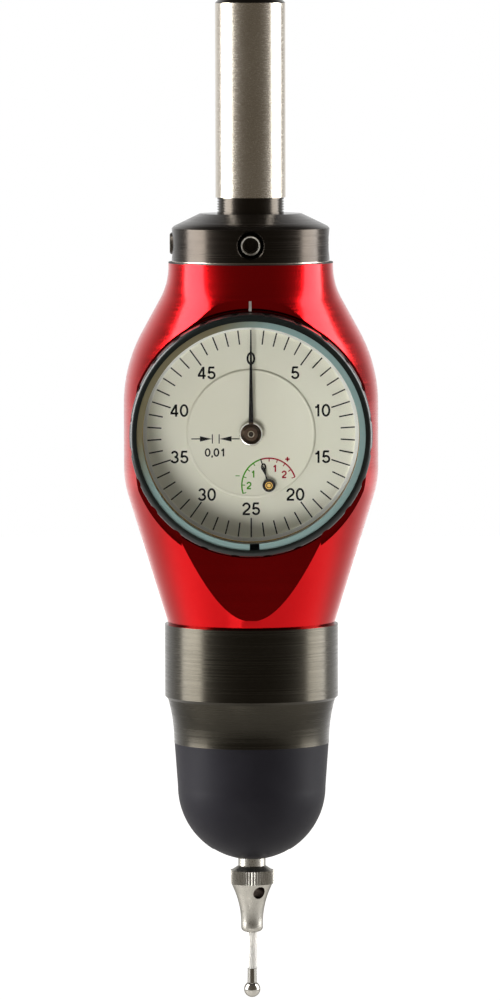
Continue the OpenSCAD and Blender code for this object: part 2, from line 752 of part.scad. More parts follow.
module bezel_profile() {
  corner = [bezel_r - bezel_round, bezel_front_d - bezel_round];
  polygon(concat(
    [[bezel_r, bezel_back_d]],
    arc(corner, bezel_round, 0, 90, 12),
    [[crystal_seat_r, bezel_front_d], [crystal_seat_r, seat_d], [bezel_bore_r, seat_d],
     [bezel_bore_r, dial_face_d + 2 * run], [dial_ring_r + run, dial_face_d + 2 * run],
     [dial_ring_r + run, dial_seat_d], [rim_r + 2 * run, dial_seat_d],
     [rim_r + 2 * run, bezel_back_d]]));
}

module bezel() {
  color("#141a19") at_dial() difference() {
    rotate_extrude($fn = 128) bezel_profile();
    translate([0, 0, wire_d - wire_r - run])
      tube(wire_ring_r + wire_r + run, rim_r, 0, 2 * (wire_r + run));
    translate([0, 0, snap_d - run])
      tube(crystal_seat_r + 4 * run + run, crystal_seat_r - run, 0, snap_ring_h + 2 * run);
    for (i = [0:1:bezel_flutes - 1]) rotate([0, 0, 360 * (i + 0.5) / bezel_flutes])
      translate([bezel_r + flute_r - flute_depth, 0, flat_d + bezel_gap])
        cylinder(r = flute_r, h = bezel_front_d, $fn = 32);
  }
}

module crystal() {
  color([0.85, 0.95, 0.95, 0.3]) at_dial()
    disc_at([0, 0], crystal_seat_r - run, seat_d, seat_d + crystal_h);
}

module snap_ring() {
  outer = crystal_seat_r + 4 * run;
  gap = snap_ring_gap / outer * 180 / PI;
  color("#8fa8a5") at_dial() translate([0, 0, snap_d]) rotate([0, 0, snap_ring_turn - 90 + gap / 2])
    rotate_extrude(angle = 360 - gap)
      translate([outer - snap_ring_w, 0]) square([snap_ring_w, snap_ring_h]);
}

module bezel_wire() {
  color("#9a9a96") at_dial() translate([0, 0, wire_d]) rotate_extrude(angle = 330)
    translate([wire_ring_r, 0]) circle(r = wire_r, $fn = 24);
}

module spur(teeth, size, phase, from_d, to_d) {
  translate([0, 0, from_d]) linear_extrude(to_d - from_d) polygon(spur_points(teeth, size, phase));
}

module first_arbor() {
  color("#a9a9a4") at_dial() translate(first) {
    spur(pinion_teeth, rack_module, 0, -rack_face, rack_face);
    disc_at([0, 0], arbor_r, -rack_face, plate_front_d - run);
    disc_at([0, 0], pivot_r, plate_front_d - over, plate_front_d + plate_h);
    spur(pinion_teeth, counter_module, bearing(first, counter), counter_d - wheel_h / 4,
      counter_d + 1.25 * wheel_h);
  }
}

// Wheel with a hub hole and round lightening holes
module wheel(phase) {
  rim = wheel_module * wheel_teeth / 2;
  difference() {
    spur(wheel_teeth, wheel_module, phase, wheel_d, wheel_d + wheel_h);
    disc_at([0, 0], arbor_r + slip, wheel_d - over, wheel_d + wheel_h + over);
    for (angle = [0:72:288]) rotate([0, 0, angle + 36])
      disc_at([rim * 0.55, 0], rim * 0.22, wheel_d - over, wheel_d + wheel_h + over);
  }
}

module first_wheel() {
  color("#c9a54a") at_dial() translate(first) wheel(bearing(first, [0, 0]));
}

module centre_arbor() {
  color("#a9a9a4") at_dial() {
    disc_at([0, 0], pivot_r, plate_back_d + run, wheel_d);
    spur(pinion_teeth, wheel_module, bearing([0, 0], first) + 180 / pinion_teeth,
      wheel_d - wheel_h / 3, wheel_d + 4 * wheel_h / 3);
    disc_at([0, 0], arbor_r, wheel_d + wheel_h, hand_d + 2 * hand_h);
  }
}

module large_hand() {
  hub_low = inner_face_d + 3 * run;
  top = hand_d + 4 * hand_h;
  color("#1d1a16") at_dial() difference() {
    union() {
      disc_at([0, 0], hand_hub_r / 2, hub_low, hand_d);
      translate([0, 0, hand_d]) cylinder(r1 = hand_hub_r, r2 = hand_hub_r * 0.62, h = top - hand_d);
      translate([0, 0, hand_d]) linear_extrude(hand_h)
        polygon([[-hand_base_w / 2, 0], [hand_base_w / 2, 0],
          [hand_tip_w / 2, hand_len], [-hand_tip_w / 2, hand_len]]);
    }
    disc_at([0, 0], arbor_r + slip, hub_low - over, top + over);
  }
}

module takeup_arbor() {
  color("#a9a9a4") at_dial() translate(takeup) {
    disc_at([0, 0], pivot_r, plate_back_d + run, plate_front_d + plate_h);
    disc_at([0, 0], arbor_r, wheel_d - wheel_h, plate_front_d - run);
  }
}

module takeup_wheel() {
  color("#c9a54a") at_dial() translate(takeup) wheel(bearing(takeup, [0, 0]));
}

// Flat spiral ribbon from the take-up arbor to a post on the front plate
module hair_spring() {
  inner = arbor_r + run;
  steps = hair_turns * 20;
  spiral = [for (i = [0:steps]) [inner + (hair_r - inner) * i / steps, 360 * hair_turns * i / steps]];
  color("#3c5a86") at_dial() translate([takeup[0], takeup[1], hair_d])
    linear_extrude(wheel_h) polygon(concat(
      [for (p = spiral) p[0] * [cos(p[1]), sin(p[1])]],
      [for (i = [steps:-1:0]) (spiral[i][0] + hair_band) * [cos(spiral[i][1]), sin(spiral[i][1])]]));
}

module counter_arbor() {
  color("#c9a54a") at_dial() translate(counter) {
    disc_at([0, 0], pivot_r, counter_d - 2.5 * wheel_h, small_hand_d + 2 * hand_h);
    spur(counter_teeth, counter_module, bearing(counter, first) + 180 / counter_teeth,
      counter_d, counter_d + wheel_h);
  }
}

module small_hand() {
  low = inner_face_d + 3 * run;
  leaf = small_hand_len * 0.16;
  color("#101010") at_dial() translate(counter) difference() {
    union() {
      disc_at([0, 0], small_hub_r * 0.6, low, small_hand_d);
      disc_at([0, 0], small_hub_r, small_hand_d, small_hand_d + hand_h);
      rotate([0, 0, -counter_zero]) translate([0, 0, small_hand_d]) linear_extrude(hand_h)
        polygon([[-hand_tip_w, 0], [hand_tip_w, 0], [hand_tip_w / 2, small_hand_len - 3 * leaf],
          [leaf / 2, small_hand_len - 1.6 * leaf], [0, small_hand_len],
          [-leaf / 2, small_hand_len - 1.6 * leaf], [-hand_tip_w / 2, small_hand_len - 3 * leaf]]);
    }
    disc_at([0, 0], pivot_r + slip, low - over, small_hand_d + over + hand_h);
  }
}

// Rack teeth are gaps cut into the spindle's left side, with one gap on the pinion's own level
module spindle() {
  top = body_top - upper_bush_drop + travel;
  pinion_z = dial_z + first[1];
  tip = rack_line + 0.8 * rack_module;
  root = rack_line - 1.15 * rack_module;
  half = rack_pitch * 0.26;
  lean = tan(20);
  low_gap = -ceil(travel / rack_pitch) - 3;
  high_gap = ceil(1.5 * rack_pinion_r / rack_pitch);
  color("#c8c8c4") difference() {
    translate([0, 0, sleeve_top]) cylinder(r = spindle_r, h = top - sleeve_top);
    translate([-tip - spindle_r, -spindle_r - over, pinion_z + (low_gap - 1) * rack_pitch])
      cube([spindle_r, 2 * (spindle_r + over), (high_gap + 2 - low_gap) * rack_pitch]);
    for (i = [low_gap:high_gap])
      translate([0, spindle_r + over, pinion_z + i * rack_pitch]) rotate([90, 0, 0])
      linear_extrude(2 * (spindle_r + over)) polygon([
        [-root, -half + lean * (rack_line - root)], [-root, half - lean * (rack_line - root)],
        [-tip - rack_module, half + lean * (tip + rack_module - rack_line)],
        [-tip - rack_module, -half - lean * (tip + rack_module - rack_line)]]);
  }
}

module bush(drop) {
  top = body_top - drop;
  difference() {
    tube(cavity_r - slip, spindle_r + run / 2, top - bush_h, top);
    translate([-cavity_r, -cavity_r - case_back_d, top - bush_h - over])
      cube([2 * cavity_r, cavity_r, bush_h + 2 * over]);
  }
}

module upper_bush() { color("#b8923a") bush(upper_bush_drop); }
module lower_bush() { color("#b8923a") bush(lower_bush_drop); }

module return_spring() {
  color("#8a8a86")
    coil(spring_r, spring_wire, sleeve_top, body_top - lower_bush_drop - bush_h, spring_turns);
}

module ring_profile() {
  r = ring_d / 2;
  cove_r = cove_top_d / 2;
  tail_r = cove_end_d / 2;
  // The hollow taper is an arc that leaves the end diameter upright
  sweep = 2 * atan((cove_r - tail_r) / cove_h);
  hollow_r = cove_h / sin(sweep);
  difference() {
    polygon(concat(
      [[guide_r, ring_end], [guide_r, ring_shelf], [ring_counter_r, ring_shelf],
       [ring_counter_r, body_bottom + ring_spigot_h], [ring_spigot_r, body_bottom + ring_spigot_h],
       [ring_spigot_r, body_bottom], [r, body_bottom], [r, ring_bottom], [cove_r, cove_start]],
      arc([tail_r + hollow_r, boot_top], hollow_r, 180 - sweep, 180, 16),
      [[boot_spigot_r, boot_top], [boot_spigot_r, ring_end]]));
  }
}

// Lays a child along the line of the guide pin, with its end at radius start
module on_guide_pin(start) {
  translate([0, start, guide_pin_z]) rotate([-90, 0, 0]) children();
}

module steel_ring() {
  color("#4a4640") difference() {
    rotate_extrude($fn = 128) ring_profile();
    on_guide_pin(guide_r - over)
      cylinder(r = guide_pin_r + slip, h = boot_spigot_r - guide_r + 2 * over);
  }
}

// Pin that runs in a slot of the sleeve, so that the sleeve slides but can't turn
module guide_pin() {
  color("#d5d5d0") on_guide_pin(guide_pin_from)
    cylinder(r = guide_pin_r, h = boot_spigot_r - run - guide_pin_from);
}

module ring_seal() {
  middle_r = (ring_counter_r + ring_spigot_r) / 2;
  color("#101010") translate([0, 0, body_bottom + ring_spigot_h + seal_r + slip]) rotate_extrude()
    translate([middle_r, 0]) circle(r = seal_r, $fn = 24);
}

module boot() {
  inner_r = boot_r - boot_wall;
  mouth_r = shaft_r + 2 * run;
  step_r = boot_spigot_r + run;
  color("#26262b") rotate_extrude($fn = 128) polygon(concat(
    [[step_r, boot_top], [boot_top_r, boot_top]],
    arc([0, pivot_z], boot_r, 0, -acos(mouth_r / boot_r), 40),
    arc([0, pivot_z], inner_r, -acos(mouth_r / inner_r), 0, 40),
    [[inner_r, ring_end], [step_r, ring_end]]));
}

module sleeve() {
  color("#b9b9b4") difference() {
    union() {
      translate([0, 0, ring_shelf + run]) cylinder(r = flange_r, h = flange_h - run);
      translate([0, 0, sleeve_bottom]) cylinder(r = sleeve_r, h = ring_shelf + run - sleeve_bottom);
    }
    translate([0, 0, sleeve_bottom - over]) cylinder(r = sleeve_bore_r, h = ring_shelf - sleeve_bottom);
    translate([-sleeve_r - over, 0, pivot_z]) rotate([0, 90, 0])
      cylinder(r = gimbal_pin_r + run, h = 2 * (sleeve_r + over));
    on_guide_pin(sleeve_bore_r - over) {
      cylinder(r = guide_pin_r + run, h = sleeve_r);
      translate([0, travel, 0]) cylinder(r = guide_pin_r + run, h = sleeve_r);
      translate([-guide_pin_r - run, 0, 0]) cube([2 * (guide_pin_r + run), travel, sleeve_r]);
    }
  }
}

// Spring-loaded foot that brings the stylus back upright
module centring_foot() {
  plate = face_r * 0.7;
  color("#cfcfca") {
    translate([0, 0, foot_face]) cylinder(r = face_r * 1.6, h = plate);
    translate([0, 0, foot_face + plate - run]) cylinder(r = face_r * 0.6, h = 2 * plate);
  }
}

module centring_spring() {
  low = foot_face + face_r * 0.7;
  color("#8a8a86") coil(face_r * 1.25, spring_wire * 0.8, low, ring_shelf - over, spring_turns + 1);
}

module gimbal_ring() {
  color("#a2a29c") difference() {
    tube(gimbal_r, gimbal_bore_r, pivot_z - gimbal_h / 2, pivot_z + gimbal_h / 2);
    translate([-gimbal_r - over, 0, pivot_z]) rotate([0, 90, 0])
      cylinder(r = gimbal_pin_r + slip, h = 2 * (gimbal_r + over));
    translate([0, gimbal_r + over, pivot_z]) rotate([90, 0, 0])
      cylinder(r = gimbal_pin_r + run, h = 2 * (gimbal_r + over));
  }
}

module gimbal_pins() {
  length = sleeve_r - run - gimbal_bore_r - run;
  color("#d5d5d0") for (side = [0, 180]) rotate([0, 0, side])
    translate([gimbal_bore_r + run, 0, pivot_z]) rotate([0, 90, 0])
      cylinder(r = gimbal_pin_r, h = length);
}

module stylus_shaft() {
  half = gimbal_h / 2 - run;
  stud = shaft_r * 0.62;
  color("#c4c4be") difference() {
    union() {
      translate([0, 0, pivot_z - half]) cylinder(r = hub_r, h = 2 * half);
      translate([0, 0, pivot_z]) cylinder(r = face_r, h = face_lift);
      translate([0, 0, shaft_end]) cylinder(r = shaft_r, h = pivot_z - shaft_end);
      translate([0, 0, knurl_bottom]) cylinder(r = stud, h = shaft_end - knurl_bottom + over);
    }
    translate([0, hub_r + over, pivot_z]) rotate([90, 0, 0])
      cylinder(r = gimbal_pin_r + slip, h = 2 * (hub_r + over));
  }
}

module hub_pin() {
  half = gimbal_r - run;
  color("#d5d5d0") translate([0, half, pivot_z]) rotate([90, 0, 0])
    cylinder(r = gimbal_pin_r, h = 2 * half);
}

// Straight knurl: each ridge is a small triangle on the grip's rim
module knurl_band() {
  steps = 2 * knurl_teeth;
  translate([0, 0, knurl_bottom]) linear_extrude(knurl_h)
    polygon([for (i = [0:steps - 1])
      (knurl_r - (i % 2) * knurl_depth) * [cos(360 * i / steps), sin(360 * i / steps)]]);
}

module stylus_holder() {
  // The hollow taper is an arc that ends upright at the lower end
  sweep = 2 * atan((taper_top_r - taper_end_r) / taper_h);
  hollow_r = taper_h / sin(sweep);
  tip_round = taper_end_r * 0.42;
  stud = shaft_r * 0.62 + slip;
  root_r = knurl_r - knurl_depth - run;
  color("#cfcec8") difference() {
    union() {
      translate([0, 0, knurl_top]) cylinder(r1 = root_r, r2 = shaft_r, h = knurl_flare_h);
      knurl_band();
      rotate_extrude() polygon(concat(
        [[0, knurl_bottom], [root_r, knurl_bottom], [taper_top_r, taper_top]],
        arc([taper_end_r + hollow_r, taper_end], hollow_r, 180 - sweep, 180, 16),
        arc([taper_end_r - tip_round, holder_end + tip_round], tip_round, 0, -90, 8),
        [[0, holder_end]]));
    }
    translate([0, 0, knurl_bottom - slip]) cylinder(r = stud, h = shaft_end - knurl_bottom + over);
    translate([0, 0, holder_end - over]) cylinder(r = stem_r + slip, h = stem_seat + over);
    translate([0, 0, taper_top - cross_hole_drop + knurl_chamfer_h]) rotate([0, 0, cross_hole_turn])
      rotate([90, 0, 0]) translate([0, 0, -knurl_r]) cylinder(r = cross_hole_r, h = 2 * knurl_r);
  }
}

module ceramic_stem() {
  color("#f4f3ee") difference() {
    translate([0, 0, stem_end]) cylinder(r = stem_r, h = stem_len + stem_seat);
    translate([0, 0, stem_end - over]) cylinder(r = tip_neck_r * 0.6 + slip, h = stem_seat + over);
  }
}

module ball_tip() {
  groove = tip_neck_len / 24;
  color("#b9b6ad") difference() {
    union() {
      translate([0, 0, ball_z]) sphere(d = ball_d);
      translate([0, 0, ball_z]) cylinder(r = tip_neck_r, h = tip_neck_len);
      translate([0, 0, ball_z]) cylinder(r = tip_neck_r * 0.6, h = tip_neck_len + stem_seat * 0.9);
    }
    for (i = [1:3]) translate([0, 0, stem_end - 3 * groove * i])
      tube(stem_r, tip_neck_r - groove / 2, 0, groove);
  }
}

shank();
collar();
seat_ring();
screw_front();
screw_back();
screw_left();
screw_right();
clamp_screw();
clamp_washer();
housing();
dial_case();
case_screws();
back_plate();
front_plate();
pillars();
counter_cock();
inner_dial();
bezel();
crystal();
snap_ring();
dial_ring();
bezel_wire();
first_arbor();
first_wheel();
centre_arbor();
large_hand();
takeup_arbor();
takeup_wheel();
hair_spring();
counter_arbor();
small_hand();
spindle();
upper_bush();
lower_bush();
return_spring();
steel_ring();
guide_pin();
ring_seal();
boot();
sleeve();
centring_foot();
centring_spring();
gimbal_ring();
gimbal_pins();
stylus_shaft();
hub_pin();
stylus_holder();
ceramic_stem();
ball_tip();
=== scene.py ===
"""Looks of the dial edge finder: finishes for every CAD piece, the printed scales, light and camera."""

import json
import math

import bmesh
import bpy
import numpy as np
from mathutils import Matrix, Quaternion, Vector

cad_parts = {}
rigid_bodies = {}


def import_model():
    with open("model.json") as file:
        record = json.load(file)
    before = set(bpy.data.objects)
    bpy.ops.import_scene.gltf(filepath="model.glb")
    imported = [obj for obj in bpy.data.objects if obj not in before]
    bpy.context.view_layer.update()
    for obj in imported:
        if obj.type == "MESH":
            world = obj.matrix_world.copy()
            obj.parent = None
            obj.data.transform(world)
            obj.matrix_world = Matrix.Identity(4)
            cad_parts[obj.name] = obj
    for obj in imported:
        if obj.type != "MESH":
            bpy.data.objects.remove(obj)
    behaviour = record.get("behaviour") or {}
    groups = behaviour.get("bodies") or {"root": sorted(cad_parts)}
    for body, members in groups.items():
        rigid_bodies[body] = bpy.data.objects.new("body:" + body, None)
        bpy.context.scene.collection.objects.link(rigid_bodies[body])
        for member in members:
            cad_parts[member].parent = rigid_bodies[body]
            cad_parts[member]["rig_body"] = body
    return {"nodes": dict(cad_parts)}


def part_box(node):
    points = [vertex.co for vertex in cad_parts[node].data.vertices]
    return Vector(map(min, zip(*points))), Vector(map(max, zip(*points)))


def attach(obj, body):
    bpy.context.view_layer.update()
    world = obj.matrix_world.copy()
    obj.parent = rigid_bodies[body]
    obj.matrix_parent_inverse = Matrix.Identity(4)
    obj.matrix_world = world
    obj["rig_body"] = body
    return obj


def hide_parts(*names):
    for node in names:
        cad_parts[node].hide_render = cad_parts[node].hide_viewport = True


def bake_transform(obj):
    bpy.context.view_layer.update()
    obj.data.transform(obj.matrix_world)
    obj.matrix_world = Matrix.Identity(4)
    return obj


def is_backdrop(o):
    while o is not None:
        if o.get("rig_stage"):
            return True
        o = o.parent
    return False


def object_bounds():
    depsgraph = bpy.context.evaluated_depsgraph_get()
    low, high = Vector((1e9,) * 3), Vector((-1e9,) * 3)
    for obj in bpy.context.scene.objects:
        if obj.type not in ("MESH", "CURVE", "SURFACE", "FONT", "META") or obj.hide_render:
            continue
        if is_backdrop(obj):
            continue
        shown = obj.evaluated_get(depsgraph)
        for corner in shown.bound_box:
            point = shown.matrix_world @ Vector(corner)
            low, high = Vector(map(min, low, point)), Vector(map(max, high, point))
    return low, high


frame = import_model()
cad_low, cad_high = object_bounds()
MM = 0.001

# Places in mm. The dial's centre height and the inner dial's face are read from the CAD
crystal_low, crystal_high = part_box("crystal")
DIAL_Z = (crystal_low.z + crystal_high.z) / 2 / MM
DIAL_CENTRE = (0, 0, DIAL_Z * MM)
INNER_FACE = -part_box("inner_dial")[0].y / MM
OUTER_FACE, INDEX_OUT = 14.85, 14.715  # the outer dial, and just over the housing's flat, from the shank's axis
COUNTER = (3.02, -8.75)  # the counter's centre, from the dial's
CHAMFER_Z, SHOULDER_Z = 33.15, 0.0  # the shank is black above the first and below the second
EDGE_GLEAM_Z = -10.82  # the collar is painted pale grey below this, as a painted highlight along its bottom edge
RIM_R, BARE_R = 17.64, 18.29  # the outer dial's raised rim and its bare brass edge begin here
HUB_R, HUB_EYE_R = 1.95, 0.56  # the large hand's hub and the pale eye in it
BOSS_R, BORE_R = 0.62, 0.48  # the small hand's boss, and its bore, which is painted dark as painted shade
HOLE_TURN, HOLE_Z, HOLE_R = math.radians(26), -119.4, 1.07  # the cross hole, to the right of the front


# ---------------------------------------------------------------- finishes

def linear(hexcode):
    """Linear colour, with an alpha of 1, of an sRGB hex value."""
    parts = np.array([int(hexcode[i:i + 2], 16) for i in (1, 3, 5)]) / 255
    flat = np.where(parts <= 0.04045, parts / 12.92, ((parts + 0.055) / 1.055) ** 2.4)
    return (*flat.tolist(), 1.0)


def plug(node, inputs):
    """Fills a node's inputs, by name or number: an output or a node is linked, a value or hex colour is set."""
    for key, value in inputs.items():
        if isinstance(value, bpy.types.Node):
            value = value.outputs[2 if value.bl_idname == "ShaderNodeMix" and value.data_type == "RGBA" else 0]
        if isinstance(value, bpy.types.NodeSocket):
            node.id_data.links.new(value, node.inputs[key])
        else:
            node.inputs[key].default_value = linear(value) if isinstance(value, str) else value


def add(tree, kind, inputs={}, **settings):
    """Adds a node of this kind to a tree, with its settings and its inputs filled, and gives it back."""
    node = tree.nodes.new("ShaderNode" + kind)
    for key, value in settings.items():
        setattr(node, key, value)
    plug(node, inputs)
    return node


def new_finish(name, fixed={}):
    """A material with sockets fixed to values: itself, its tree, its shader and object coordinates in mm."""
    made = bpy.data.materials.new(name)
    made.use_nodes = True
    tree = made.node_tree
    shader = tree.nodes["Principled BSDF"]
    plug(shader, fixed)
    place = add(tree, "TexCoord").outputs["Object"]
    return made, tree, shader, add(tree, "Mapping", {"Vector": place, "Scale": (1000, 1000, 1000)})


def from_axis(tree, mm, x, z):
    """Distance in mm from the line that runs front to back through x, z."""
    place = add(tree, "SeparateXYZ", {0: add(tree, "Mapping", {"Vector": mm, "Location": (-x, 0, -z)})})
    flat = add(tree, "CombineXYZ", {0: place.outputs[0], 1: place.outputs[2]})
    return add(tree, "VectorMath", {0: flat}, operation="LENGTH").outputs["Value"]


def ground_steel():
    """Tool steel, centreless ground, with a blackened end chamfer and neck: even grey with a fine scatter
    of short marks round it, about 0.1 mm apart, that soften the edges of what it mirrors."""
    made, tree, shader, mm = new_finish("ground_tool_steel", {"Metallic": 1.0})
    marks = add(tree, "TexNoise", {"Vector": add(tree, "Mapping", {"Vector": mm, "Scale": (1.2, 1.2, 9)}),
                                   "Scale": 1.0, "Detail": 5.0})
    cloud = add(tree, "TexNoise", {"Vector": mm, "Scale": 0.09, "Detail": 3.0})
    z = add(tree, "SeparateXYZ", {0: mm}).outputs[2]
    black = add(tree, "Math", {0: add(tree, "Math", {0: z, 1: CHAMFER_Z}, operation="GREATER_THAN"),
                               1: add(tree, "Math", {0: z, 1: SHOULDER_Z}, operation="LESS_THAN")},
                operation="MAXIMUM")
    steel = add(tree, "Mix", {0: cloud, 6: "#c4bbad", 7: "#dad3c8"}, data_type="RGBA")
    rough = add(tree, "MapRange", {"Value": marks, "From Min": 0.35, "From Max": 0.65, "To Min": 0.2, "To Max": 0.28})
    plug(shader, {
        "Base Color": add(tree, "Mix", {0: black, 6: steel, 7: "#3c3833"}, data_type="RGBA"),
        "Roughness": add(tree, "Mix", {0: black, 2: rough, 3: 0.22}),
        "Normal": add(tree, "Bump", {"Height": marks, "Distance": 0.12e-6})})
    return made


def black_oxide():
    """Turned steel, black oxided: dark warm metal with fine turning rings 0.3 mm apart, and a painted highlight
    along its bottom edge, painted as grey steel."""
    made, tree, shader, mm = new_finish("black_oxide_turned_steel", {"Metallic": 1.0})
    rings = add(tree, "TexNoise", {"Vector": add(tree, "Mapping", {"Vector": mm, "Scale": (0.02, 0.02, 3.4)}),
                                   "Scale": 1.0, "Detail": 5.0})
    cloud = add(tree, "TexNoise", {"Vector": mm, "Scale": 0.22, "Detail": 4.0})
    z = add(tree, "SeparateXYZ", {0: mm}).outputs[2]
    # Painted highlight: the collar's bottom edge is painted pale grey
    painted_edge_gleam = add(tree, "Math", {0: z, 1: EDGE_GLEAM_Z}, operation="LESS_THAN")
    dark = add(tree, "Mix", {0: cloud, 6: "#2f2b27", 7: "#3d3833"}, data_type="RGBA")
    plug(shader, {
        "Base Color": add(tree, "Mix", {0: painted_edge_gleam, 6: dark, 7: "#a8a095"}, data_type="RGBA"),
        "Roughness": add(tree, "MapRange", {"Value": rings, "From Min": 0.35, "From Max": 0.65,
                                            "To Min": 0.18, "To Max": 0.28}),
        "Normal": add(tree, "Bump", {"Height": rings, "Distance": 6.0e-6})})
    return made


def oxided_screw():
    """Socket screws and the centre arbor, black oxided and oiled: darker and smoother than the collar, with
    small dull spots."""
    made, tree, shader, mm = new_finish("black_oxide_screw", {"Metallic": 1.0})
    spots = add(tree, "TexNoise", {"Vector": mm, "Scale": 1.6, "Detail": 3.0})
    plug(shader, {"Base Color": add(tree, "Mix", {0: spots, 6: "#26231f", 7: "#403b35"}, data_type="RGBA"),
                  "Roughness": add(tree, "MapRange", {"Value": spots, "To Min": 0.18, "To Max": 0.4}),
                  "Normal": add(tree, "Bump", {"Height": spots, "Distance": 4.0e-6})})
    return made


def dull_black():
    """Phosphated steel ring in the joint: dull black that shows only a faint edge."""
    made, tree, shader, mm = new_finish("phosphated_seat_ring", {"Metallic": 0.5})
    fine = add(tree, "TexNoise", {"Vector": mm, "Scale": 3.0, "Detail": 3.0})
    plug(shader, {"Base Color": add(tree, "Mix", {0: fine, 6: "#0d0c0c", 7: "#1b1918"}, data_type="RGBA"),
                  "Roughness": add(tree, "MapRange", {"Value": fine, "To Min": 0.4, "To Max": 0.65})})
    return made


def red_anodised():
    """Aluminium, turned and dyed red in its anodising: a tinted metal under a clear hard skin, so its
    highlights go pink to white, with turning rings about 0.3 mm apart."""
    made, tree, shader, mm = new_finish("red_anodised_aluminium",
                                        {"Metallic": 1.0, "Coat Weight": 0.1, "Coat Roughness": 0.1})
    rings = add(tree, "TexNoise", {"Vector": add(tree, "Mapping", {"Vector": mm, "Scale": (0.02, 0.02, 3.0)}),
                                   "Scale": 1.0, "Detail": 4.0})
    cloud = add(tree, "TexNoise", {"Vector": mm, "Scale": 0.08, "Detail": 2.0})
    plug(shader, {
        "Base Color": add(tree, "Mix", {0: cloud, 6: "#bd0a10", 7: "#cf1218"}, data_type="RGBA"),
        "Roughness": add(tree, "MapRange", {"Value": rings, "From Min": 0.35, "From Max": 0.65,
                                            "To Min": 0.15, "To Max": 0.22}),
        "Normal": add(tree, "Bump", {"Height": rings, "Distance": 4.0e-6})})
    return made


def black_anodised():
    """Aluminium, turned about the dial's axis and anodised black: cool near-black with a soft clear gloss."""
    made, tree, shader, mm = new_finish("black_anodised_aluminium", {
        "Specular IOR Level": 0.3, "Coat Weight": 0.3, "Coat Roughness": 0.14})
    dial = add(tree, "Mapping", {"Vector": mm, "Location": (0, 0, -DIAL_Z)})
    rings = add(tree, "TexNoise", {"Vector": add(tree, "Mapping", {"Vector": dial, "Scale": (0.03, 3.0, 0.03)}),
                                   "Scale": 1.0, "Detail": 4.0})
    plug(shader, {"Base Color": add(tree, "Mix", {0: rings, 6: "#080d0c", 7: "#121918"}, data_type="RGBA"),
                  "Roughness": add(tree, "MapRange", {"Value": rings, "From Min": 0.35, "From Max": 0.65,
                                                      "To Min": 0.25, "To Max": 0.37}),
                  "Normal": add(tree, "Bump", {"Height": rings, "Distance": 3.0e-6})})
    return made


def pale_metal():
    """Aluminium spring ring, satin and clear anodised, with a cool cast that is partly its own colour and partly
    painted reflection, turning to a straw tint painted at its upper left as a painted reflection: it edges
    the glass with pale light."""
    made, tree, shader, mm = new_finish("satin_anodised_ring", {"Metallic": 0.6})
    fine = add(tree, "TexNoise", {"Vector": mm, "Scale": 1.4, "Detail": 4.0})
    dial = add(tree, "Mapping", {"Vector": mm, "Location": (0, 0, -DIAL_Z)})
    upper_left = add(tree, "VectorMath", {0: dial, 1: (-0.82, 0, 0.57)}, operation="DOT_PRODUCT").outputs["Value"]
    # Painted reflection: the ring's colour turns straw towards its upper left
    cast = add(tree, "MapRange", {"Value": upper_left, "From Min": 8.0, "From Max": 15.0})
    even = add(tree, "Mix", {0: fine, 6: "#93b8b8", 7: "#a6c0be"}, data_type="RGBA")
    plug(shader, {"Base Color": add(tree, "Mix", {0: cast, 6: even, 7: "#8d8669"}, data_type="RGBA"),
                  "Roughness": add(tree, "MapRange", {"Value": fine, "To Min": 0.38, "To Max": 0.54})})
    return made


def dial_enamel():
    """Brass disc, spray enamelled cream and baked: matt, with a soft cloud and a fine orange peel, and a painted
    highlight that makes its raised rim whiter; the rim's outermost edge is bare brass."""
    made, tree, shader, mm = new_finish("cream_baked_enamel", {"Coat Weight": 0.08, "Coat Roughness": 0.35})
    cloud = add(tree, "TexNoise", {"Vector": mm, "Scale": 0.16, "Detail": 2.0})
    fine = add(tree, "TexNoise", {"Vector": mm, "Scale": 3.5, "Detail": 3.0})
    far = from_axis(tree, mm, 0, DIAL_Z)
    rim = add(tree, "Math", {0: far, 1: RIM_R}, operation="GREATER_THAN")
    bare = add(tree, "Math", {0: far, 1: BARE_R}, operation="GREATER_THAN")
    cream = add(tree, "Mix", {0: cloud, 6: "#ece9d6", 7: "#f3f0e0"}, data_type="RGBA")
    # Painted highlight: the raised rim is painted whiter than the cream
    pale = add(tree, "Mix", {0: rim, 6: cream, 7: "#f7f6ee"}, data_type="RGBA")
    plug(shader, {"Base Color": add(tree, "Mix", {0: bare, 6: pale, 7: "#b9964e"}, data_type="RGBA"),
                  "Metallic": bare,
                  "Roughness": add(tree, "MapRange", {"Value": fine, "To Min": 0.48, "To Max": 0.62}),
                  "Normal": add(tree, "Bump", {"Height": fine, "Distance": 2.0e-6})})
    return made


def clear_crystal():
    """Mineral glass, polished and coated against glare, which the lower refraction stands for: it mirrors the
    lamps only faintly and lets their light through."""
    made, tree, shader, mm = new_finish("polished_coated_glass", {"Transmission Weight": 1.0, "IOR": 1.1})
    smear = add(tree, "TexNoise", {"Vector": mm, "Scale": 0.12, "Detail": 2.0})
    rays = add(tree, "LightPath")
    plug(shader, {"Base Color": (0.985, 0.99, 0.988, 1.0),
                  "Roughness": add(tree, "MapRange", {"Value": smear, "To Min": 0.0, "To Max": 0.03})})
    passing = add(tree, "Math", {0: rays.outputs["Is Shadow Ray"], 1: rays.outputs["Is Diffuse Ray"]},
                  operation="MAXIMUM")
    clear = add(tree, "BsdfTransparent", {"Color": (0.96, 0.97, 0.965, 1.0)})
    plug(tree.nodes["Material Output"],
         {"Surface": add(tree, "MixShader", {0: passing, 1: shader, 2: clear})})
    return made


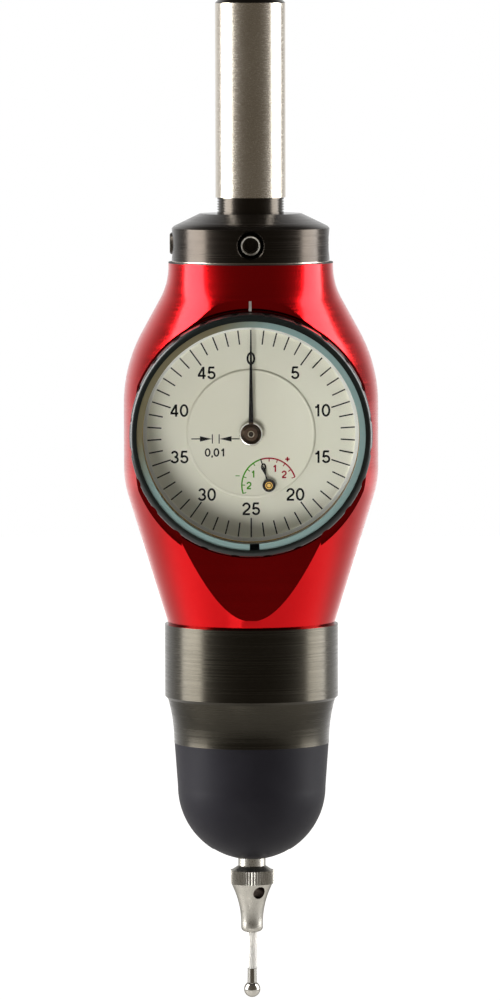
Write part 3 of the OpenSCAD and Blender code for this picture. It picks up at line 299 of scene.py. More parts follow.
def bronzed_hand():
    """Steel hand, lacquered black, on a hub turned from bronzed brass: rings 0.15 mm apart and a pale eye."""
    made, tree, shader, mm = new_finish("lacquered_hand_bronzed_hub", {"Specular IOR Level": 0.15})
    far = from_axis(tree, mm, 0, DIAL_Z)
    hub = add(tree, "Math", {0: far, 1: HUB_R}, operation="LESS_THAN")
    rings = add(tree, "TexNoise", {"Vector": add(tree, "CombineXYZ", {0: far}), "Scale": 6.0, "Detail": 2.0})
    bronze = add(tree, "Mix", {0: rings, 6: "#2c231b", 7: "#54453a"}, data_type="RGBA")
    eye = add(tree, "Math", {0: far, 1: HUB_EYE_R}, operation="LESS_THAN")
    metal = add(tree, "Mix", {0: eye, 6: bronze, 7: "#8f8673"}, data_type="RGBA")
    plug(shader, {"Base Color": add(tree, "Mix", {0: hub, 6: "#100e0d", 7: metal}, data_type="RGBA"),
                  "Metallic": hub,
                  "Roughness": add(tree, "MapRange", {"Value": rings, "To Min": 0.22, "To Max": 0.42})})
    return made


def black_lacquer():
    """Stamped brass counter hand, lacquered black, satin, with its boss left as a ring of turned brass round
    a bore painted dark as painted shade."""
    made, tree, shader, mm = new_finish("black_lacquered_counter_hand",
                                        {"Coat Weight": 0.05, "Specular IOR Level": 0.2})
    far = from_axis(tree, mm, COUNTER[0], DIAL_Z + COUNTER[1])
    boss = add(tree, "Math", {0: far, 1: BOSS_R}, operation="LESS_THAN")
    # Painted shade: the boss's bore is painted dark
    bore = add(tree, "Math", {0: far, 1: BORE_R}, operation="LESS_THAN")
    fine = add(tree, "TexNoise", {"Vector": mm, "Scale": 3.0, "Detail": 2.0})
    black = add(tree, "Mix", {0: fine, 6: "#0a0909", 7: "#151312"}, data_type="RGBA")
    brass = add(tree, "Mix", {0: bore, 6: "#d8ab5c", 7: "#2a2118"}, data_type="RGBA")
    plug(shader, {"Base Color": add(tree, "Mix", {0: boss, 6: black, 7: brass}, data_type="RGBA"),
                  "Metallic": boss,
                  "Roughness": add(tree, "MapRange", {"Value": fine, "To Min": 0.28, "To Max": 0.45})})
    return made


def polished_steel():
    """Steel, turned bright: clear grey reflections broken by turning rings about 0.15 mm apart."""
    made, tree, shader, mm = new_finish("bright_turned_steel", {"Metallic": 1.0})
    rings = add(tree, "TexNoise", {"Vector": add(tree, "Mapping", {"Vector": mm, "Scale": (0.06, 0.06, 5.5)}),
                                   "Scale": 1.0, "Detail": 4.0})
    plug(shader, {"Base Color": add(tree, "Mix", {0: rings, 6: "#c9c5bd", 7: "#e2dfd9"}, data_type="RGBA"),
                  "Roughness": add(tree, "MapRange", {"Value": rings, "From Min": 0.35, "From Max": 0.65,
                                                      "To Min": 0.2, "To Max": 0.34}),
                  "Normal": add(tree, "Bump", {"Height": rings, "Distance": 3.0e-6})})
    return made


def satin_steel():
    """Stainless steel, turned satin: pale grey with soft edges to what it mirrors, and painted shade inside the
    cross hole."""
    made, tree, shader, mm = new_finish("satin_stainless_steel",
                                        {"Metallic": 1.0, "Specular Tint": (0.4, 0.4, 0.4, 1.0)})
    fine = add(tree, "TexNoise", {"Vector": mm, "Scale": 5.0, "Detail": 4.0})
    cloud = add(tree, "TexNoise", {"Vector": mm, "Scale": 0.6, "Detail": 3.0})
    # Distance from the cross hole's axis
    turned_in = add(tree, "VectorMath", {0: mm, 1: (math.cos(HOLE_TURN), math.sin(HOLE_TURN), 0)},
                    operation="DOT_PRODUCT").outputs["Value"]
    height = add(tree, "Math", {0: add(tree, "SeparateXYZ", {0: mm}).outputs[2], 1: HOLE_Z}, operation="SUBTRACT")
    off = add(tree, "VectorMath", {0: add(tree, "CombineXYZ", {0: turned_in, 1: height})},
              operation="LENGTH").outputs["Value"]
    # Painted shade: inside the cross hole the steel is painted dark
    hole = add(tree, "Math", {0: off, 1: HOLE_R}, operation="LESS_THAN")
    steel = add(tree, "Mix", {0: cloud, 6: "#a9a69f", 7: "#c1beb6"}, data_type="RGBA")
    plug(shader, {"Base Color": add(tree, "Mix", {0: hole, 6: steel, 7: "#5c534e"}, data_type="RGBA"),
                  "Roughness": add(tree, "MapRange", {"Value": fine, "To Min": 0.22, "To Max": 0.36}),
                  "Normal": add(tree, "Bump", {"Height": fine, "Distance": 2.0e-6})})
    return made


def lapped_steel():
    """Hardened steel, lapped to a sphere: close to a mirror, with a trace of lapping haze."""
    made, tree, shader, mm = new_finish("lapped_hardened_steel",
                                        {"Metallic": 1.0, "Specular Tint": (0.35, 0.35, 0.35, 1.0)})
    haze = add(tree, "TexNoise", {"Vector": mm, "Scale": 2.5, "Detail": 3.0})
    plug(shader, {"Base Color": add(tree, "Mix", {0: haze, 6: "#b4b1a9", 7: "#c9c6c0"}, data_type="RGBA"),
                  "Roughness": add(tree, "MapRange", {"Value": haze, "To Min": 0.05, "To Max": 0.16})})
    return made


def spring_wire():
    """Spring steel, cold drawn and oiled: dark grey with draw marks along the wire."""
    made, tree, shader, mm = new_finish("drawn_spring_steel", {"Metallic": 1.0})
    marks = add(tree, "TexNoise", {"Vector": mm, "Scale": 2.0, "Detail": 4.0})
    plug(shader, {"Base Color": add(tree, "Mix", {0: marks, 6: "#666a70", 7: "#8c9096"}, data_type="RGBA"),
                  "Roughness": add(tree, "MapRange", {"Value": marks, "To Min": 0.22, "To Max": 0.42})})
    return made


def clock_brass():
    """Hard brass sheet and rod, lapped: warm yellow with a straight grain about 0.15 mm wide."""
    made, tree, shader, mm = new_finish("lapped_clock_brass", {"Metallic": 1.0})
    lines = add(tree, "TexNoise", {"Vector": add(tree, "Mapping", {"Vector": mm, "Scale": (6.0, 0.2, 0.2)}),
                                   "Scale": 1.0, "Detail": 4.0})
    plug(shader, {"Base Color": add(tree, "Mix", {0: lines, 6: "#c29b4b", 7: "#dcbb6e"}, data_type="RGBA"),
                  "Roughness": add(tree, "MapRange", {"Value": lines, "To Min": 0.2, "To Max": 0.4}),
                  "Normal": add(tree, "Bump", {"Height": lines, "Distance": 2.0e-6})})
    return made


def gunmetal():
    """Steel, turned and blackened thinly: dark grey-brown metal with clear rings about 0.25 mm apart."""
    made, tree, shader, mm = new_finish("thin_blackened_steel", {"Metallic": 1.0})
    rings = add(tree, "TexNoise", {"Vector": add(tree, "Mapping", {"Vector": mm, "Scale": (0.02, 0.02, 3.8)}),
                                   "Scale": 1.0, "Detail": 5.0})
    cloud = add(tree, "TexNoise", {"Vector": mm, "Scale": 0.16, "Detail": 3.0})
    plug(shader, {"Base Color": add(tree, "Mix", {0: cloud, 6: "#36332d", 7: "#423f38"}, data_type="RGBA"),
                  "Roughness": add(tree, "MapRange", {"Value": rings, "From Min": 0.35, "From Max": 0.65,
                                                      "To Min": 0.2, "To Max": 0.3}),
                  "Normal": add(tree, "Bump", {"Height": rings, "Distance": 4.0e-6})})
    return made


def moulded_rubber():
    """Nitrile rubber, compression moulded: blue-black and nearly matt, with a bloom in broad patches and a
    mould texture of about 0.3 mm."""
    made, tree, shader, mm = new_finish("moulded_nitrile_rubber", {"Specular IOR Level": 0.12})
    fine = add(tree, "TexNoise", {"Vector": mm, "Scale": 3.0, "Detail": 4.0})
    bloom = add(tree, "TexNoise", {"Vector": mm, "Scale": 0.15, "Detail": 2.0})
    plug(shader, {"Base Color": add(tree, "Mix", {0: bloom, 6: "#131217", 7: "#1c1b20"}, data_type="RGBA"),
                  "Roughness": add(tree, "MapRange", {"Value": fine, "To Min": 0.44, "To Max": 0.56}),
                  "Normal": add(tree, "Bump", {"Height": fine, "Distance": 5.0e-6})})
    return made


def ceramic():
    """Alumina ceramic, fired and ground: white, hard, with a faint clear gloss. Light spreads about 2 mm
    inside it. The colour is written greyer than the real white, which the side strips would clip."""
    made, tree, shader, mm = new_finish("ground_alumina_ceramic", {
        "Coat Weight": 0.15, "Coat Roughness": 0.12, "Subsurface Weight": 1.0, "Subsurface Scale": 0.002,
        "Subsurface Radius": (1.0, 1.0, 1.0)})
    fine = add(tree, "TexNoise", {"Vector": mm, "Scale": 2.0, "Detail": 3.0})
    plug(shader, {"Base Color": add(tree, "Mix", {0: fine, 6: "#b9b7b2", 7: "#c6c4bf"}, data_type="RGBA"),
                  "Roughness": add(tree, "MapRange", {"Value": fine, "To Min": 0.22, "To Max": 0.36})})
    return made


def printing_ink(name, thin, thick):
    """Screen printing ink on enamel: matt, a little uneven in its cover."""
    made, tree, shader, mm = new_finish(name, {"Specular IOR Level": 0.2})
    cover = add(tree, "TexNoise", {"Vector": mm, "Scale": 4.0, "Detail": 2.0})
    plug(shader, {"Base Color": add(tree, "Mix", {0: cover, 6: thin, 7: thick}, data_type="RGBA"),
                  "Roughness": add(tree, "MapRange", {"Value": cover, "To Min": 0.5, "To Max": 0.65})})
    return made


bright_steel = polished_steel()
FINISHES = [
    (ground_steel(), "shank"),
    (black_oxide(), "collar"),
    (dull_black(), "seat_ring"),
    (oxided_screw(), "screw_front screw_back screw_left screw_right clamp_screw centre_arbor"),
    (red_anodised(), "housing"),
    (black_anodised(), "bezel dial_case"),
    (pale_metal(), "snap_ring"),
    (clear_crystal(), "crystal"),
    (dial_enamel(), "dial_ring inner_dial"),
    (bronzed_hand(), "large_hand"),
    (black_lacquer(), "small_hand"),
    (bright_steel, "clamp_washer case_screws bezel_wire first_arbor takeup_arbor spindle sleeve centring_foot "
                   "gimbal_ring gimbal_pins hub_pin guide_pin"),
    (satin_steel(), "stylus_shaft stylus_holder"),
    (lapped_steel(), "ball_tip"),
    (spring_wire(), "return_spring centring_spring hair_spring"),
    (clock_brass(), "back_plate front_plate pillars counter_cock first_wheel takeup_wheel counter_arbor "
                    "upper_bush lower_bush"),
    (gunmetal(), "steel_ring"),
    (moulded_rubber(), "boot ring_seal"),
    (ceramic(), "ceramic_stem"),
]
finish_of = {node: made for made, names in FINISHES for node in names.split()}
assert set(finish_of) == set(frame["nodes"]), set(finish_of) ^ set(frame["nodes"])
for node, made in finish_of.items():
    mesh = frame["nodes"][node].data
    mesh.materials.clear()
    mesh.materials.append(made)

black_ink = printing_ink("black_printing_ink", "#070606", "#12100f")
red_ink = printing_ink("dark_red_printing_ink", "#96041c", "#aa0c28")
green_ink = printing_ink("green_printing_ink", "#459014", "#58a222")
white_ink = printing_ink("white_printing_ink", "#e6e4de", "#f6f5f1")


# ---------------------------------------------------------------- turned and merged pieces

def join_up(node, angle=24):
    """A copy of a CAD node with its loose triangles merged, shaded smooth where faces meet under angle degrees."""
    cad = frame["nodes"][node]
    mesh = cad.data.copy()
    shape = bmesh.new()
    shape.from_mesh(mesh)
    bmesh.ops.remove_doubles(shape, verts=shape.verts, dist=2e-7)
    shape.to_mesh(mesh)
    shape.free()
    if "custom_normal" in mesh.attributes:
        mesh.attributes.remove(mesh.attributes["custom_normal"])
    mesh.shade_smooth()
    mesh.set_sharp_from_angle(angle=math.radians(angle))
    thing = bpy.data.objects.new(node + "_finished", mesh)
    bpy.context.scene.collection.objects.link(thing)
    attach(thing, cad["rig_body"])
    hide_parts(node)
    return thing


for node in ("shank collar snap_ring seat_ring screw_front screw_back screw_left screw_right dial_ring "
             "inner_dial crystal large_hand small_hand steel_ring stylus_shaft ceramic_stem ball_tip").split():
    join_up(node)
join_up("bezel", 12)
join_up("stylus_holder", 12)

# The housing's last 1.6 mm goes on with the taper above it, so the light doesn't break there: each point below
# the rim's top, and not in the bore, moves in by its depth times the tangent of the taper's slope
housing = join_up("housing", 7)
RIM_TOP, SLOPE, REACH = -0.0715, math.tan(math.radians(17.15)), 0.0135
points = np.zeros(len(housing.data.vertices) * 3)
housing.data.vertices.foreach_get("co", points)
points = points.reshape(-1, 3)
radius = np.hypot(points[:, 0], points[:, 1])
moved = np.where((points[:, 2] < RIM_TOP) & (radius > REACH), (RIM_TOP - points[:, 2]) * SLOPE, 0)
points[:, :2] *= (1 - moved / np.maximum(radius, REACH))[:, None]
housing.data.vertices.foreach_set("co", points.ravel())
housing.data.update()


def turned(name, profile, centre, axis, material, body, steps=72):
    """A closed profile of (radius, height) pairs in mm carried round an axis: each point is centre + height
    along the axis + radius (side cos a + up sin a), for angles a all the way round. A piece that bends between
    two bodies gets no body here."""
    axis = Vector(axis).normalized()
    side = axis.orthogonal().normalized()
    up = axis.cross(side)
    profile = np.array(profile) * MM
    angle = np.linspace(0, 2 * math.pi, steps, endpoint=False)[None, :, None]
    ring = np.cos(angle) * np.array(side) + np.sin(angle) * np.array(up)
    corners = np.array(centre) + profile[:, 1, None, None] * np.array(axis) + profile[:, 0, None, None] * ring
    row, turn = np.meshgrid(np.arange(len(profile)), np.arange(steps), indexing="ij")
    next_row, next_turn = (row + 1) % len(profile), (turn + 1) % steps
    faces = np.stack([row * steps + turn, next_row * steps + turn, next_row * steps + next_turn,
                      row * steps + next_turn], axis=-1).reshape(-1, 4)
    mesh = bpy.data.meshes.new(name)
    mesh.from_pydata(corners.reshape(-1, 3).tolist(), [], faces.tolist())
    shape = bmesh.new()
    shape.from_mesh(mesh)
    bmesh.ops.recalc_face_normals(shape, faces=shape.faces)
    shape.to_mesh(mesh)
    shape.free()
    mesh.materials.append(material)
    mesh.shade_smooth()
    mesh.set_sharp_from_angle(angle=math.radians(24))
    thing = bpy.data.objects.new(name, mesh)
    bpy.context.scene.collection.objects.link(thing)
    if body:
        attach(thing, body)
    return thing


# The boot is a bell and a nose. Below the bell's straight side both are spheres about the point that the stylus
# tilts about, so the nose rides the stylus and slides just under the bell's feathered edge without opening a gap
BOOT_TOP, SPIGOT_END, TILT_CENTRE = -93.6, -98.8, -101.2
BOOT_R, INNER_R, STEP_R, BOOT_TOP_R = 12.7, 11.55, 12.05, 13.25
FEATHER, SLIDE = 0.04, 0.08  # the bell's thin edge lies this far in, and the nose this far
BELL_EDGE, BELL_THICK, NOSE_EDGE = 33, 50, 41  # edges, in degrees off straight down
NOSE_HOLE, NOSE_HOLE_INSIDE, NEXT = 11.2, 12.25, 0.05  # the hole for the shaft, and the step to a next point
FLANK_ROWS, ROUND_STEPS = 17, 128


def sphere_line(radius, start, stop, steps=36):
    """Points of (radius, height) on a sphere about the tilt's centre, from one angle to another off straight
    down: radius sin a, centre - radius cos a."""
    angle = np.radians(np.linspace(start, stop, steps))
    return np.stack([radius * np.sin(angle), TILT_CENTRE - radius * np.cos(angle)], axis=-1).tolist()


flank = np.stack([np.linspace(BOOT_TOP_R, BOOT_R, FLANK_ROWS), np.linspace(BOOT_TOP, TILT_CENTRE, FLANK_ROWS)],
                 axis=-1).tolist()
rubber = frame["nodes"]["boot"].data.materials[0]
bell = turned("boot_bell", flank[:-1] + sphere_line(BOOT_R, 90, BELL_EDGE)
              + sphere_line(BOOT_R - FEATHER, BELL_EDGE + NEXT, BELL_THICK)
              + sphere_line(INNER_R, BELL_THICK + NEXT, 90)
              + [[INNER_R, SPIGOT_END], [STEP_R, SPIGOT_END], [STEP_R, BOOT_TOP]],
              (0, 0, 0), (0, 0, 1), rubber, None, ROUND_STEPS)
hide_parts("boot")
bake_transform(bell)
turned("boot_nose", sphere_line(BOOT_R - SLIDE, NOSE_HOLE, NOSE_EDGE)
       + sphere_line(INNER_R, NOSE_EDGE, NOSE_HOLE_INSIDE),
       (0, 0, 0), (0, 0, 1), rubber, "stylus", ROUND_STEPS)

# The countersunk mouths of the four adjusting screws' sockets catch the light
rubbed_steel = frame["nodes"]["stylus_holder"].data.materials[0]
MOUTH = [(1.3, -0.06), (1.62, -0.06), (1.62, 0.06), (1.56, 0.09), (1.3, -0.03)]
for side, way in {"front": (0, -1, 0), "back": (0, 1, 0), "left": (-1, 0, 0), "right": (1, 0, 0)}.items():
    low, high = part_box("screw_" + side)
    middle = (low + high) / 2
    reach = (high - low) / 2
    face = [middle[i] + way[i] * reach[i] for i in range(3)]
    turned("socket_mouth_" + side, MOUTH, face, way, rubbed_steel, side + "_adjuster")

# A low lip round the inner dial covers the gap to the turning dial; its bevels catch the light as an embossed ring
LIP = [(10.48, 15.115), (10.54, 15.16), (10.76, 15.13), (11.0, 14.9), (11.0, 14.87), (10.78, 14.87), (10.78, 15.115)]
LIP_STEPS = 144
turned("dial_lip", LIP, DIAL_CENTRE, (0, -1, 0), frame["nodes"]["inner_dial"].data.materials[0],
       "head", LIP_STEPS)

# A bright bevelled collet under the large hand's hub mirrors the floor along its lower edge
COLLET = [(1.86, -16.22), (2.02, -16.02), (1.5, -16.02), (1.5, -16.3)]
turned("hand_collet", COLLET, DIAL_CENTRE, (0, 1, 0), bright_steel, frame["nodes"]["large_hand"]["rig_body"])


# ---------------------------------------------------------------- printed scales

def on_dial(flat, out):
    """World places of (x right, y up) mm on the dial at out mm in front of the shank's axis."""
    flat = np.asarray(flat, float)
    return np.column_stack([flat[:, 0], np.full(len(flat), -out), DIAL_Z + flat[:, 1]]) * MM


def direction(angle):
    """Unit vector at angle degrees clockwise from the top of the dial."""
    return np.array([math.sin(math.radians(angle)), math.cos(math.radians(angle))])


def bar(start, stop, width):
    """Four corners of a line of this width from start to stop, anticlockwise."""
    start, stop = np.asarray(start, float), np.asarray(stop, float)
    along = (stop - start) / np.linalg.norm(stop - start)
    side = np.array([-along[1], along[0]]) * width / 2
    return np.array([start - side, stop - side, stop + side, start + side])


def arc(middle, across, up, start, stop, steps=16):
    """Points on an ellipse's arc: middle + (across cos, up sin), in degrees anticlockwise from the right."""
    angle = np.radians(np.linspace(start, stop, steps))
    return np.column_stack([middle[0] + across * np.cos(angle), middle[1] + up * np.sin(angle)])


# Centre lines of the numerals' strokes, in a box 1 high. Strokes are STROKE of the height wide, and bolder in
# the small numerals
STROKE, SMALL_STROKE, MARK_STROKE = 0.165, 0.2, 0.19
SIGNS = {
    "0": [arc((0.33, 0.5), 0.27, 0.44, 0, 360, 40)],
    "1": [[(0.43, 0), (0.43, 1)], [(0.17, 0.74), (0.3, 0.765), (0.38, 0.84), (0.41, 0.95)]],
    "2": [np.vstack([arc((0.33, 0.69), 0.255, 0.25, 178, -30),
                     [(0.47, 0.46), (0.26, 0.3), (0.12, 0.17), (0.08, 0.06)]]),
          [(0.02, 0.06), (0.62, 0.06)]],
    "3": [arc((0.32, 0.715), 0.22, 0.225, 165, -90), arc((0.32, 0.285), 0.26, 0.225, 90, -168)],
    "4": [[(0.46, 0), (0.46, 1)], [(0.43, 0.93), (0.06, 0.3)], [(0.0, 0.265), (0.64, 0.265)]],
    "5": [[(0.13, 0.94), (0.57, 0.94)], [(0.165, 0.97), (0.105, 0.45)],
          arc((0.325, 0.315), 0.26, 0.255, 145, -166, 24)],
    ",": [[(0.12, 0.12), (0.12, 0.0), (0.06, -0.13)]],
    "+": [[(0.05, 0.4), (0.65, 0.4)], [(0.35, 0.1), (0.35, 0.7)]],
}
ADVANCE = {"1": 0.72, ",": 0.32, "+": 0.7}
USUAL_ADVANCE = 0.78
INK_FILM, PRINT_GAP, OVERPRINT_GAP = 0.012, 0.004, 0.006


def stroke(line, width):
    """A band of this width along a line: each point moved half of it along the line's normal to both sides."""
    line = np.asarray(line, float)
    along = np.gradient(line, axis=0)
    along /= np.linalg.norm(along, axis=1)[:, None]
    side = np.column_stack([-along[:, 1], along[:, 0]]) * width / 2
    n = len(line)
    return np.vstack([line - side, line + side]), [(i, i + 1, n + i + 1, n + i) for i in range(n - 1)]


def words(text, height, middle, width=STROKE):
    """Corners and faces of a row of numerals height mm tall, with the row's middle at middle."""
    bands, start = [], 0.0
    for sign in text:
        bands += [stroke(np.asarray(line, float) + (start, 0), width) for line in SIGNS[sign]]
        start += ADVANCE.get(sign, USUAL_ADVANCE)
    corners, faces, count = np.vstack([b[0] for b in bands]), [], 0
    for part, quads in bands:
        faces += [tuple(i + count for i in face) for face in quads]
        count += len(part)
    low, high = corners.min(0), corners.max(0)
    return (corners - (low + high) / 2) * height + np.asarray(middle), faces


def ink(name, shapes, out, material, body):
    """One thin piece from flat shapes (corners, faces) laid on the dial at out mm."""
    corners, faces, count = [], [], 0
    for flat, polygons in shapes:
        corners.append(on_dial(flat, out))
        faces += [tuple(i + count for i in face) for face in polygons]
        count += len(flat)
    mesh = bpy.data.meshes.new(name)
    mesh.from_pydata(np.vstack(corners).tolist(), [], faces)
    mesh.validate()
    mesh.update()
    thing = bpy.data.objects.new(name, mesh)
    bpy.context.scene.collection.objects.link(thing)
    mesh.materials.append(material)
    rise = thing.modifiers.new("ink_film", "SOLIDIFY")
    rise.thickness = INK_FILM * MM
    rise.offset = 1
    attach(thing, body)


def quad(corners):
    """Four corners and the one face that they span."""
    return corners, [(0, 1, 2, 3)]


# The main scale has a longer line and a numeral at every fifth of its divisions
DIVISIONS, NUMBERED = 50, 5
DIVISION = 360 / DIVISIONS
LONG_START, SHORT_START, LINE_END, LINE = 14.3, 15.2, 17.6, 0.23
NUMERAL_R, NUMERAL_HEIGHT = 12.75, 2.08
scale = []
for tick in range(DIVISIONS):
    ray = direction(DIVISION * tick)
    inner = LONG_START if tick % NUMBERED == 0 else SHORT_START
    scale.append(quad(bar(ray * inner, ray * LINE_END, LINE)))
for tick in range(0, DIVISIONS, NUMBERED):
    scale.append(words(str(tick), NUMERAL_HEIGHT, direction(DIVISION * tick) * NUMERAL_R))
ink("main_scale_print", scale, OUTER_FACE + PRINT_GAP, black_ink, "turning_bezel")

# The counter scale: radius, widths and lengths in mm, and its zero, its step and its arc's span in degrees
ARC_R, ARC_WIDTH, TICK, TICK_WIDTH = 4.6, 0.25, 0.57, 0.16
ZERO, COUNT_STEP, ARC_SPAN = -17.5, 18, 90.4
ZERO_IN, ZERO_OUT, ZERO_WIDTH = 0.9, 0.1, 0.18
SMALL_HEIGHT, PLUS_HEIGHT, MINUS_WIDTH = 1.2, 1.25, 0.14


def arc_band(start, stop, radius, width):
    """Flat band along an arc about the counter's centre, as a strip of quads."""
    angles = np.linspace(start, stop, 24)
    rays = np.array([direction(a) for a in angles])
    middle = np.array(COUNTER)
    corners = np.vstack([middle + rays * (radius - width / 2), middle + rays * (radius + width / 2)])
    n = len(angles)
    faces = [(i, i + 1, n + i + 1, n + i) if stop < start else (i + 1, i, n + i, n + i + 1) for i in range(n - 1)]
    return corners, faces


def counter_side(sign, colour, name, extra):
    """Half of the counter scale, to the right (+1) or left (-1): its arc, five ticks and the extra shapes."""
    shapes = [arc_band(ZERO, ZERO + sign * ARC_SPAN, ARC_R, ARC_WIDTH)]
    middle = np.array(COUNTER)
    for step in range(1, 6):
        ray = direction(ZERO + sign * COUNT_STEP * step)
        shapes.append(quad(bar(middle + ray * (ARC_R - TICK), middle + ray * ARC_R, TICK_WIDTH)))
    ink(name, shapes + extra, INNER_FACE + PRINT_GAP, colour, "head")


counter_side(1, red_ink, "counter_plus_print",
             [words("1", SMALL_HEIGHT, (4.0, -5.88), SMALL_STROKE), words("2", SMALL_HEIGHT, (5.6, -6.9), SMALL_STROKE),
              words("+", PLUS_HEIGHT, (6.15, -4.33), SMALL_STROKE)])
counter_side(-1, green_ink, "counter_minus_print",
             [words("1", SMALL_HEIGHT, (0.33, -6.83), SMALL_STROKE),
              words("2", SMALL_HEIGHT, (-0.36, -8.78), SMALL_STROKE),
              quad(bar((-2.65, -7.13), (-1.95, -7.13), MINUS_WIDTH))])
ray = direction(ZERO)
middle = np.array(COUNTER)
ink("counter_zero_print",
    [quad(bar(middle + ray * (ARC_R - ZERO_IN), middle + ray * (ARC_R + ZERO_OUT), ZERO_WIDTH)),
     words("0", SMALL_HEIGHT, (2.11, -5.66), SMALL_STROKE)], INNER_FACE + OVERPRINT_GAP, black_ink, "head")

# Arrows and lines that say what one division is worth
MARK_Y, MARK_LINE, MARK_REACH, HEAD_REACH = -0.86, 0.17, 0.78, 0.46
LEFT_LINE, RIGHT_LINE, MARK_HEIGHT = -6.55, -5.4, 1.35
marks = [quad(bar((-10.1, MARK_Y), (-8.4, MARK_Y), MARK_LINE)), quad(bar((-3.6, MARK_Y), (-1.95, MARK_Y), MARK_LINE)),
         quad(bar((LEFT_LINE, MARK_Y - MARK_REACH), (LEFT_LINE, MARK_Y + MARK_REACH), MARK_LINE)),
         quad(bar((RIGHT_LINE, MARK_Y - MARK_REACH), (RIGHT_LINE, MARK_Y + MARK_REACH), MARK_LINE)),
         (np.array([(-8.65, MARK_Y - HEAD_REACH), (-6.62, MARK_Y), (-8.65, MARK_Y + HEAD_REACH)]), [(0, 1, 2)]),
         (np.array([(-3.3, MARK_Y + HEAD_REACH), (-5.32, MARK_Y), (-3.3, MARK_Y - HEAD_REACH)]), [(0, 1, 2)]),
         words("0,01", MARK_HEIGHT, (-6.2, -3.25), MARK_STROKE)]
ink("division_value_print", marks, INNER_FACE + PRINT_GAP, black_ink, "head")

# White index line on the flat over the bezel
INDEX_X, INDEX_LOW, INDEX_HIGH, INDEX_WIDTH = -0.1, 20.7, 22.45, 0.48
ink("index_line", [quad(bar((INDEX_X, INDEX_LOW), (INDEX_X, INDEX_HIGH), INDEX_WIDTH))], INDEX_OUT, white_ink, "head")

# ---------------------------------------------------------------- floor, light and camera


def flat_stage(name, corners, material, mirrored=True):
    """A flat sheet that isn't part of the object. Metal and glass show it only if it is mirrored."""
    mesh = bpy.data.meshes.new(name)
    mesh.from_pydata(corners, [], [(0, 1, 2, 3)])
    mesh.materials.append(material)
    thing = bpy.data.objects.new(name, mesh)
    bpy.context.scene.collection.objects.link(thing)
    thing.visible_glossy = mirrored
    thing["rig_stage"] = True


# The paper glows only for rays from the camera, mirrors and glass, and not on what lies on it. The glow grows
# with the distance in m from the object, whose shadow stays
paper = bpy.data.materials.new("pale_studio_paper")
paper.use_nodes = True
rays = add(paper.node_tree, "LightPath")
seen = add(paper.node_tree, "Math", {
    0: add(paper.node_tree, "Math", {0: rays.outputs["Is Camera Ray"], 1: rays.outputs["Is Transmission Ray"]},
           operation="MAXIMUM"),
    1: rays.outputs["Is Glossy Ray"]}, operation="MAXIMUM")
far = add(paper.node_tree, "VectorMath", {0: add(paper.node_tree, "TexCoord").outputs["Object"]}, operation="LENGTH")
glow = add(paper.node_tree, "MapRange", {"Value": far.outputs["Value"], "From Min": 0.5, "From Max": 1.8,
                                         "To Min": 0.12, "To Max": 0.95})
plug(paper.node_tree.nodes["Principled BSDF"],
     {"Base Color": "#b9b7b3", "Roughness": 0.9, "Emission Color": "#ffffff",
      "Emission Strength": add(paper.node_tree, "Math", {0: seen, 1: glow}, operation="MULTIPLY")})
# The sheet in front fills the views from behind. It isn't mirrored, because the photographed metals mirror a
# dark front
FLOOR, FAR, SEAM = cad_low.z - 0.22, 4, -0.9
flat_stage("studio_floor", [(-FAR, SEAM, FLOOR), (FAR, SEAM, FLOOR), (FAR, FAR, FLOOR), (-FAR, FAR, FLOOR)], paper)
flat_stage("studio_floor_in_front", [(-FAR, -FAR, FLOOR), (FAR, -FAR, FLOOR), (FAR, SEAM, FLOOR),
                                     (-FAR, SEAM, FLOOR)], paper, mirrored=False)

world = bpy.data.worlds.new("studio")
bpy.context.scene.world = world
world.use_nodes = True
air = world.node_tree
# What metal mirrors, by direction round the object: dim and warm behind the camera, paler towards the lamps,
# dark just past them, a white backdrop behind the object, and dark overhead. Camera and glass see plain white
way = add(air, "TexCoord").outputs["Generated"]
level = add(air, "VectorMath", {0: add(air, "VectorMath", {0: way, 1: (1, 1, 0)}, operation="MULTIPLY")},
            operation="NORMALIZE")
place = add(air, "SeparateXYZ", {0: level})
right = add(air, "Math", {0: add(air, "Math", {0: place.outputs[0], 1: 0.0}, operation="MAXIMUM"), 1: 0.25},
            operation="MULTIPLY")
turn = add(air, "MapRange", {"Value": add(air, "Math", {0: place.outputs[1], 1: right}, operation="SUBTRACT"),
                             "From Min": -1.0})
walls = add(air, "ValToRGB", {0: turn})
walls.color_ramp.interpolation = "B_SPLINE"
stops = [(0.0, (0.115, 0.1, 0.078)), (0.16, (0.2, 0.18, 0.155)), (0.31, (0.8, 0.78, 0.75)),
         (0.42, (0.8, 0.78, 0.75)), (0.55, (0.3, 0.29, 0.28)), (0.77, (0.3, 0.29, 0.28)), (0.9, (1.0, 1.0, 1.0))]
for where, colour in stops[2:]:
    walls.color_ramp.elements.new(where)
for stop, (where, colour) in zip(walls.color_ramp.elements, stops):
    stop.position, stop.color = where, (*colour, 1)
high = add(air, "MapRange", {"Value": add(air, "SeparateXYZ", {0: way}).outputs[2],
                             "From Min": 0.55, "From Max": 0.8})
room = add(air, "Mix", {0: high, 6: walls, 7: (0.12, 0.11, 0.1, 1)}, data_type="RGBA")
rays = add(air, "LightPath")
seen = add(air, "Math", {0: rays.outputs["Is Camera Ray"], 1: rays.outputs["Is Transmission Ray"]},
           operation="MAXIMUM")
plug(air.nodes["Background"], {"Color": add(air, "Mix", {0: seen, 6: room, 7: "#ffffff"}, data_type="RGBA")})


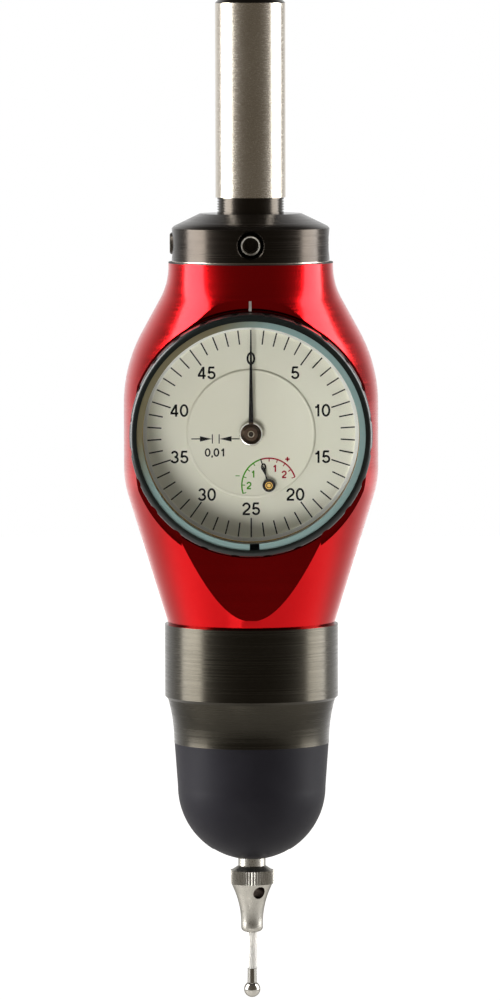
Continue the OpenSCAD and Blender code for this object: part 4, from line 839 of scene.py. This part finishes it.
def softbox(name, azimuth, height, distance, width, tall, radiance, tip=0.0):
    """White rectangular lamp, sizes in m, at an azimuth from the camera's side (right is positive). It faces the
    shank's axis and is tipped down by tip m in 1 m."""
    lamp = bpy.data.lights.new(name, "AREA")
    lamp.shape = "RECTANGLE"
    lamp.size, lamp.size_y = width, tall
    lamp.energy = math.pi * radiance * width * tall
    thing = bpy.data.objects.new(name, lamp)
    bpy.context.scene.collection.objects.link(thing)
    a = math.radians(azimuth)
    thing.location = (math.sin(a) * distance, -math.cos(a) * distance, height)
    thing.rotation_mode = "QUATERNION"
    thing.rotation_quaternion = Vector((-math.sin(a), math.cos(a), -tip)).to_track_quat("-Z", "Y")
    thing.visible_camera = False
    return thing


# Two tall strips beside the object, and a small lamp below the camera's view that lifts the lower shadows. Metal
# doesn't mirror the small one
STRIP_HEIGHT, STRIP_DISTANCE, STRIP_TALL, FILL_SIZE = 0.315, 0.75, 0.98, 0.18
softbox("left_strip", -87, STRIP_HEIGHT, STRIP_DISTANCE, 0.487, STRIP_TALL, 12)
softbox("right_strip", 97, STRIP_HEIGHT, STRIP_DISTANCE, 0.459, STRIP_TALL, 9.5)
low_fill = softbox("low_front_fill", -20, -0.29, 0.43, FILL_SIZE, FILL_SIZE, 12, tip=-0.58)
low_fill.visible_glossy = False

# Camera 1.23 m away, 34 mm above the shank's shoulder and looking 4 degrees down. In the photograph the object
# leans by the roll's angle
EYE, AIM, ROLL = (-0.00005, -1.23, 0.0337), (-0.0002, 0, -0.0519), -0.12
camera = bpy.data.cameras.new("camera")
camera.lens = 258.8
camera.clip_start, camera.clip_end = 0.05, 50
eye = bpy.data.objects.new("camera", camera)
bpy.context.scene.collection.objects.link(eye)
eye.location = EYE
eye.rotation_mode = "QUATERNION"
roll = Quaternion((0, 0, 1), math.radians(ROLL))
eye.rotation_quaternion = (Vector(AIM) - eye.location).to_track_quat("-Z", "Y") @ roll
bpy.context.scene.camera = eye
bpy.context.scene.view_settings.view_transform = "Standard"

low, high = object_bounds()
